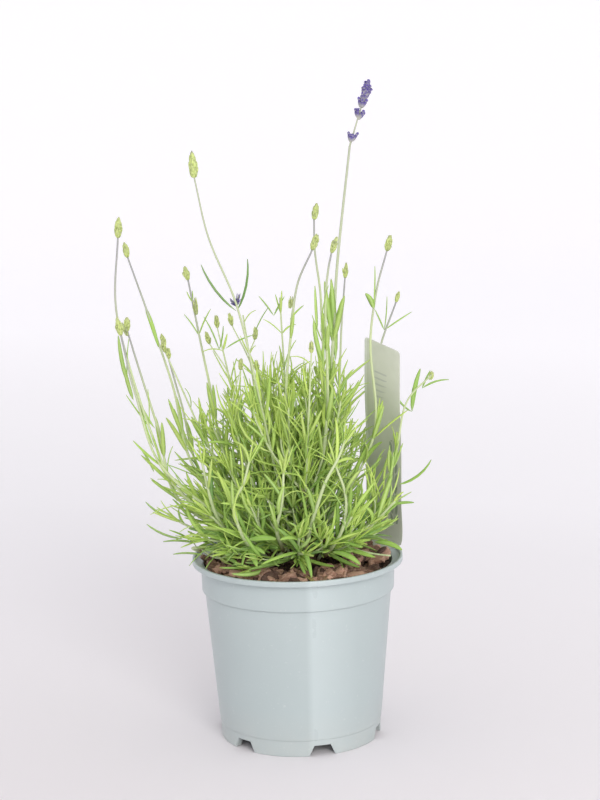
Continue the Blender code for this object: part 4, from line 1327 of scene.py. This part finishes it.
def flakes(x, y, length, width, thick, turn, tip, roll, dice, lift):
    """Flakes of bark: a flat oval section carried along the length, with ragged edges and layered ends."""
    count, grid = len(x), (len(x), len(CHIP_RINGS), CHIP_SIDES)
    length, width, thick = (size[:, None, None] for size in (length, width, thick))
    share = CHIP_RINGS[None, :, None]
    angle = np.linspace(0, math.tau, CHIP_SIDES, endpoint=False)[None, None]
    cos, sin = np.cos(angle), np.sin(angle)
    full = np.sin(math.pi * np.clip(share, 0.08, 0.92)) ** 0.35 * (1 + dice.normal(0, 0.1, (*grid[:2], 1)))
    ragged = 1 + dice.normal(0, 0.09, grid)
    side = np.sign(cos) * np.abs(cos) ** 0.6 * full * ragged * 0.5 * width
    high = np.sign(sin) * np.abs(sin) ** 0.5 * ragged * 0.5 * thick
    high = high + 0.08 * length * (1 - (2 * share - 1) ** 2) * dice.uniform(-1, 1, (count, 1, 1))
    ahead = (share - 0.5) * length * (1 + dice.normal(0, 0.04, grid))
    side, high = turned(side, high, roll[:, None, None])
    ahead, high = turned(ahead, high, tip[:, None, None])
    ahead, side = turned(ahead, side, turn[:, None, None])
    rings = np.stack([ahead, side, high], -1) + np.stack([x, y, soil_height(x, y) + lift], -1)[:, None, None]
    radius = np.hypot(rings[..., 0], rings[..., 1])
    over_ledge = rings[..., 2] > POT_HEIGHT - RIM_DEPTH + 2 * MM
    limit = np.where(over_ledge, RIM_RADIUS - RIM_WIDTH - MM, SOIL_RADIUS)
    rings[..., :2] *= np.minimum(1, limit / np.maximum(radius, MM))[..., None]
    age = dice.uniform(0, 1, count)[:, None, None]
    return loft(rings, rings[:, 0].mean(1), rings[:, -1].mean(1), along=share, age=age)


def bark_finish():
    """Reddish bark: long grain, darker cracks, pale torn fibres and a grey weathered side."""
    skin = Finish("bark", specular_ior_level=0.3)
    grain = skin.noise(1.0, 5, 0.65, skin.stretched(260, 900, 700))
    crack = skin.cells(240).between(0.0, 0.25)
    tone = skin.noise(130, 3)
    colour = skin.mix(tone.between(0.3, 0.7), (0.17, 0.085, 0.055), (0.42, 0.235, 0.165))
    colour = skin.mix(grain.between(0.45, 0.7) * 0.8, colour, (0.68, 0.47, 0.36))
    colour = skin.mix(skin.tag("age").between(0.55, 0.75) * 0.8, colour, (0.055, 0.032, 0.026))
    colour = skin.mix((1 - skin.tag("age").between(0.15, 0.3)) * 0.7, colour, (0.60, 0.37, 0.27))
    colour = skin.mix(skin.tag("age").between(0.93, 0.95) * 0.7, colour, (0.50, 0.42, 0.14))
    colour = skin.mix((1 - crack) * 0.5, colour, (0.03, 0.016, 0.012))
    return skin.paint(colour, 0.75 + grain * 0.2, [(grain, 0.7, 0.0012), (crack, 0.3, 0.0008)])


bark = bark_finish()
for number, (direction, distance, length, width) in enumerate(BARK_CHIPS, 1):
    dice = np.random.default_rng(CHIP_SEED + number)
    middle = math.radians(direction)
    x, y = distance * MM * math.cos(middle), distance * MM * math.sin(middle)
    turn = middle + CHIP_TURN * number
    sizes = (length * MM, width * MM, MAIN_CHIP_THICK)
    main = [np.array([value]) for value in (x, y, *sizes, turn, MAIN_CHIP_TIP, MAIN_CHIP_ROLL)]
    # Small chips lie to both sides of the main one, but the label's heap and the back one spread further.
    spread = middle + dice.uniform(-0.62, 0.62, SMALL_CHIPS)
    if number == LABEL_HEAP:
        spread = dice.uniform(-1.1, 0.5, SMALL_CHIPS)
    if number == BACK_HEAP:
        spread = dice.uniform(-0.4, 3.9, SMALL_CHIPS)
    reach = dice.uniform(36, 56.5, SMALL_CHIPS) * MM
    size = dice.uniform(5, 15, SMALL_CHIPS) * MM
    extra = [
        reach * np.cos(spread), reach * np.sin(spread), size, size * dice.uniform(0.35, 0.75, SMALL_CHIPS),
        dice.uniform(1.6, 4.0, SMALL_CHIPS) * MM, dice.uniform(0, math.tau, SMALL_CHIPS),
        dice.normal(0, 0.38, SMALL_CHIPS), dice.normal(0, 0.55, SMALL_CHIPS),
    ]
    lift = dice.uniform(0.8, 4.2, SMALL_CHIPS) * MM
    if number == LABEL_HEAP:
        lift = lift + 4 * MM * np.clip(np.cos(spread) * 4 - 3, 0, 1)
    heap = join([flakes(*main, dice, MAIN_CHIP_LIFT), flakes(*extra, dice, lift)])
    piece_from(f"bark_heap_{number:02d}", heap, bark, [f"bark_chip_{number:02d}"], 45)
print("bark:", len(BARK_CHIPS) * (SMALL_CHIPS + 1), "chips")

# %% [markdown]
# ## The woody crown
#
# Old lavender stems are brown, ridged wood at the soil. The crown is a low mound, roughened by the same sine
# waves as the soil, and short woody stumps lean out of it where the green stems begin.

# %% Crown
STUMP_RISE = 6 * MM
CROWN_SEED = 5


def crown_mound():
    """A flattened ball: height -cos and radius sin of the share from pole to pole, rippled a little."""
    share = np.linspace(0.04, 0.96, 18)[:, None]
    angle = np.linspace(0, math.tau, 48, endpoint=False)[None]
    ripple = 1 + 0.05 * np.sin(9 * angle + 5 * share) + 0.03 * np.sin(17 * angle - 9 * share)
    radius = np.sin(math.pi * share) * ripple * 0.97
    height = -np.cos(math.pi * share) + 0 * radius
    rings = np.stack([radius * np.cos(angle), radius * np.sin(angle), height], -1)
    rings = (rings * CROWN_SIZE + CROWN_MIDDLE)[None]
    low, high = CROWN_MIDDLE - (0, 0, CROWN_SIZE[2]), CROWN_MIDDLE + (0, 0, CROWN_SIZE[2])
    return loft(rings, low[None], high[None])


def crown_stumps(dice, count=14):
    """Short tapering woody stems that bend up out of the mound."""
    turn = np.arange(count) * GOLDEN_TURN
    radius = CROWN_SIZE[0] * 0.85 * np.sqrt((np.arange(count) + 0.5) / count)
    height = np.full(count, CROWN_MIDDLE[2] + STUMP_RISE)
    foot = np.stack([radius * np.cos(turn), radius * np.sin(turn), height], -1)
    lean = np.stack([np.cos(turn), np.sin(turn), np.full(count, 1.6)], -1)
    t = np.linspace(0, 1, 7)[None, :, None]
    length = dice.uniform(14, 30, count)[:, None, None] * MM
    paths = foot[:, None] + unit(lean)[:, None] * length * t + np.array([0, 0, STUMP_RISE]) * t**2
    radii = np.linspace(2.4 * MM, 1.3 * MM, 7)[None] * dice.uniform(0.8, 1.15, (count, 1))
    radii = radii * (1 + 0.12 * np.sin(np.arange(7) * 2.1)[None])
    return tubes(paths, radii, 8)


def wood_finish():
    """Brown ridged wood with pale grey flakes."""
    skin = Finish("crown_wood", specular_ior_level=0.25)
    ridge = skin.noise(1.0, 4, 0.6, skin.stretched(900, 900, 160))
    colour = skin.mix(ridge.between(0.35, 0.7), (0.07, 0.042, 0.022), (0.27, 0.19, 0.11))
    colour = skin.mix(skin.noise(300, 3).between(0.55, 0.75) * 0.5, colour, (0.36, 0.32, 0.24))
    return skin.paint(colour, 0.85 + ridge * 0.1, [(ridge, 0.8, 0.0015)])


crown = join([crown_mound(), crown_stumps(np.random.default_rng(CROWN_SEED))])
piece_from("woody_crown_old", crown, wood_finish(), ["woody_crown"])
print("crown:", len(crown.points), "points")

# %% [markdown]
# ## The plant label
#
# The label is a thin printed plastic card that narrows to a stake in the soil. A box with a bend would do
# for its shape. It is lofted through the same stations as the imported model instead, with a rounded section
# and rounded top corners, and its print is drawn by formula from two tags: across the card and down it.

# %% Label
LABEL_WIDTH = 28
LABEL_THICK = 0.8 * MM
LABEL_FACING = math.radians(42)
LABEL_STATIONS = (
    ((54, -7, 245), 15, LABEL_WIDTH),
    ((54, 1, 212), 13, LABEL_WIDTH),
    ((55, 10, 178), 11, LABEL_WIDTH),
    ((55, 17, 146), 10, LABEL_WIDTH),
    ((55, 20, 118), 10, LABEL_WIDTH),
    ((49, 18, 110), 5, 9),
    ((47, 17, 84), 2, 9),
    ((45, 16, 60), 0, 3),
)
LABEL_CORNER = 2.2 * MM
LABEL_COLUMNS = 15
SPRIG_PLACE = 8.0


def label_card():
    """Rings across the card at each place down it. Near the top the width follows a quarter circle."""
    middle, turn, width = zip(*LABEL_STATIONS)
    middle, turn, width = mm(middle), np.radians(turn), mm(width)
    steps = np.linalg.norm(np.diff(middle, axis=0), axis=1)
    down = np.concatenate([[0], np.cumsum(steps)])
    near_top = LABEL_CORNER * (1 - np.cos(np.linspace(0.06, math.pi / 2, 7)))
    shoulder = np.linspace(down[4], down[5], 7)[1:-1]
    places = np.concatenate([near_top, np.linspace(LABEL_CORNER, down[-1], 70), shoulder])
    places = np.unique(places.round(6))
    line = smooth(middle, 12)
    point, way = along_path(line, places / down[-1])
    angle = np.interp(places, down, turn)
    half = np.interp(places, down, width) / 2
    short = np.maximum(LABEL_CORNER - places, 0)
    half = half - (LABEL_CORNER - np.sqrt(np.maximum(LABEL_CORNER**2 - short**2, 0)))
    flat = np.array([[math.cos(LABEL_FACING), -math.sin(LABEL_FACING)]])
    across = np.concatenate([flat * np.cos(angle)[:, None], -np.sin(angle)[:, None]], -1)
    face = unit(np.cross(across, way))
    edge_to_edge = np.linspace(1, -1, LABEL_COLUMNS)
    u = np.concatenate([edge_to_edge, -edge_to_edge])
    v = np.repeat([-0.5, 0.5], LABEL_COLUMNS) * np.where(np.abs(u) > 0.99, 0.5, 1)
    aside = half[:, None] * u
    rings = point[:, None] + across[:, None] * aside[..., None] + face[:, None] * (v * LABEL_THICK)[:, None]
    tags = {"across": aside[None] / MM, "along": (places[:, None] / MM)[None], "kind": (v < 0).astype(float)}
    return loft(rings[None], rings[:1].mean(1), rings[-1:].mean(1), **tags)


def label_finish():
    """Grey-green printed card, painted darker down towards the soil as painted shade: a pale strip at its
    left edge, soft blots, sprigs and blank bars for words.
    """
    skin = Finish("label_plastic", specular_ior_level=0.5)
    across, down, front = skin.tag("across"), skin.tag("along"), skin.tag("kind")
    cloud, grain = skin.noise(45, 3), skin.noise(1800, 2)
    upper = skin.mix(cloud.between(0.3, 0.7), (0.60, 0.62, 0.53), (0.70, 0.72, 0.63))
    # Painted shade: the card is painted darker from its top down towards the soil.
    colour = skin.mix(down.between(20, 150), upper, (0.46, 0.49, 0.41))
    strip = (1 - across.between(-12.2, -11.6)) * front
    colour = skin.mix(strip * 0.6, colour, (0.80, 0.82, 0.80))
    row = down % 4.0
    ragged_end = across < 1.5 + (down * 1.7).sine() * 2.5
    bars = (row > 2.9) * (down > 18) * (down < 44) * (across > -6) * ragged_end
    colour = skin.mix(bars * front * 0.35, colour, (0.30, 0.32, 0.34))
    leaf_row = (down % 7.0 - 3.5) / 3.2
    leaf_side = (abs(across - SPRIG_PLACE) - 2.0) / 1.3
    sprig = ((leaf_row + leaf_side * 0.6) ** 2 + leaf_side**2).between(1.0, 0.7)
    stalk = 1 - abs(across - SPRIG_PLACE).between(0.15, 0.3)
    drawn = (sprig + stalk).between(0.0, 1.0) * (down > 62) * (down < 118)
    colour = skin.mix(drawn * front * 0.55, colour, (0.07, 0.14, 0.06))
    colour = skin.mix(1 - front, colour, (0.62, 0.64, 0.60))
    return skin.paint(colour, 0.38 + cloud * 0.15, [(grain, 0.08, 0.0002), (cloud, 0.12, 0.0015)])


label = label_card()
piece_from("plant_label_card", label, label_finish(), ["plant_label"], 40)
print("label:", len(label.quads), "quads")

# %% [markdown]
# ## Backdrop and light
#
# The plant stands on a seamless pale sweep, lit softly from the front right by a large panel, with white
# light all round. The sweep is a round bowl and not a curved sheet, so it is behind the plant from any side.

# %% Sweep, lamps and world
SWEEP_FLAT = 2.2
SWEEP_WALL = 3.4
SWEEP_HEIGHT = 2.6
SWEEP_RINGS, SWEEP_CURVE, SWEEP_SIDES = 40, 16, 96


def sweep_mesh():
    """A round floor that turns up into a wall: radius and height follow a quarter circle past the flat."""
    turn = np.linspace(0, math.pi / 2, SWEEP_CURVE)
    bowl = SWEEP_FLAT + (SWEEP_WALL - SWEEP_FLAT) * np.sin(turn)
    radius = np.concatenate([np.linspace(0.02, SWEEP_FLAT, SWEEP_RINGS), bowl[1:]])[:, None]
    height = np.concatenate([np.zeros(SWEEP_RINGS), SWEEP_HEIGHT * (1 - np.cos(turn))[1:]])[:, None]
    angle = np.linspace(0, math.tau, SWEEP_SIDES, endpoint=False)[None]
    points = np.stack([radius * np.cos(angle), radius * np.sin(angle), height + 0 * angle], -1)
    rows, cols = points.shape[:2]
    mesh = bpy.data.meshes.new("sweep")
    faces = ring_quads(rows, cols)[:, OTHER_WAY].tolist() + [list(range(cols))]
    mesh.from_pydata(points.reshape(-1, 3).tolist(), [], faces)
    mesh.shade_smooth()
    return mesh


def sweep_finish():
    """Pale card with painted shade and painted light: a little warm and grey round a place before the plant,
    and almost white, with a faint painted glow, further off."""
    skin = Finish("sweep", specular_ior_level=0.1)
    x, y = skin.axis("X"), skin.axis("Y")
    near = (0.79, 0.755, 0.775)
    far = (0.965, 0.955, 0.975)
    # Painted shade: the card is painted greyer and warmer round a place just before the plant.
    away = ((x + 0.12) ** 2 + (y + 0.3) ** 2) ** 0.5
    colour = skin.mix(away.between(0.0, 0.95), near, far)
    # Painted light: the card further off glows faintly, though it is no lamp.
    painted_glow = skin.mix((away + x * 0.3).between(0.85, 1.9), (0, 0, 0), (0.14, 0.14, 0.145))
    skin.put(skin.shader.inputs["Emission Color"], painted_glow)
    skin.shader.inputs["Emission Strength"].default_value = 1.0
    return skin.paint(colour, 0.9, [(skin.noise(400, 3), 0.05, 0.001)])


sweep = bpy.data.objects.new("sweep", sweep_mesh())
bpy.context.scene.collection.objects.link(sweep)
sweep.data.materials.append(sweep_finish())


def add_panel(name, place, aim, size, power, colour):
    """An area lamp of a width and height at a place, turned towards the point it aims at."""
    data = bpy.data.lights.new(name, "AREA")
    data.shape, data.energy, data.color = "RECTANGLE", power, colour
    data.size, data.size_y = size
    lamp = bpy.data.objects.new(name, data)
    bpy.context.scene.collection.objects.link(lamp)
    back = unit(np.subtract(place, aim))
    side = unit(np.cross([0, 0, 1.0], back))
    matrix = np.identity(4)
    matrix[:3, 0], matrix[:3, 1], matrix[:3, 2], matrix[:3, 3] = side, np.cross(back, side), back, place
    lamp.matrix_world = Matrix(matrix.tolist())


PLANT_MIDDLE = (0, 0, 0.15)
PANEL_PLACE = (0.45, -1.80, 0.92)
PANEL_SIZE = (0.8, 0.8)
PANEL_POWER = 17
add_panel("key_panel", PANEL_PLACE, PLANT_MIDDLE, PANEL_SIZE, PANEL_POWER, (1.0, 0.985, 0.96))
world = bpy.data.worlds.new("soft_white")
world.use_nodes = True
sky = world.node_tree.nodes["Background"].inputs
sky["Color"].default_value = (1.0, 0.985, 1.0, 1)
sky["Strength"].default_value = 0.72
bpy.context.scene.world = world
bpy.context.scene.view_settings.view_transform = "Standard"
print("lamps: a panel and the world")
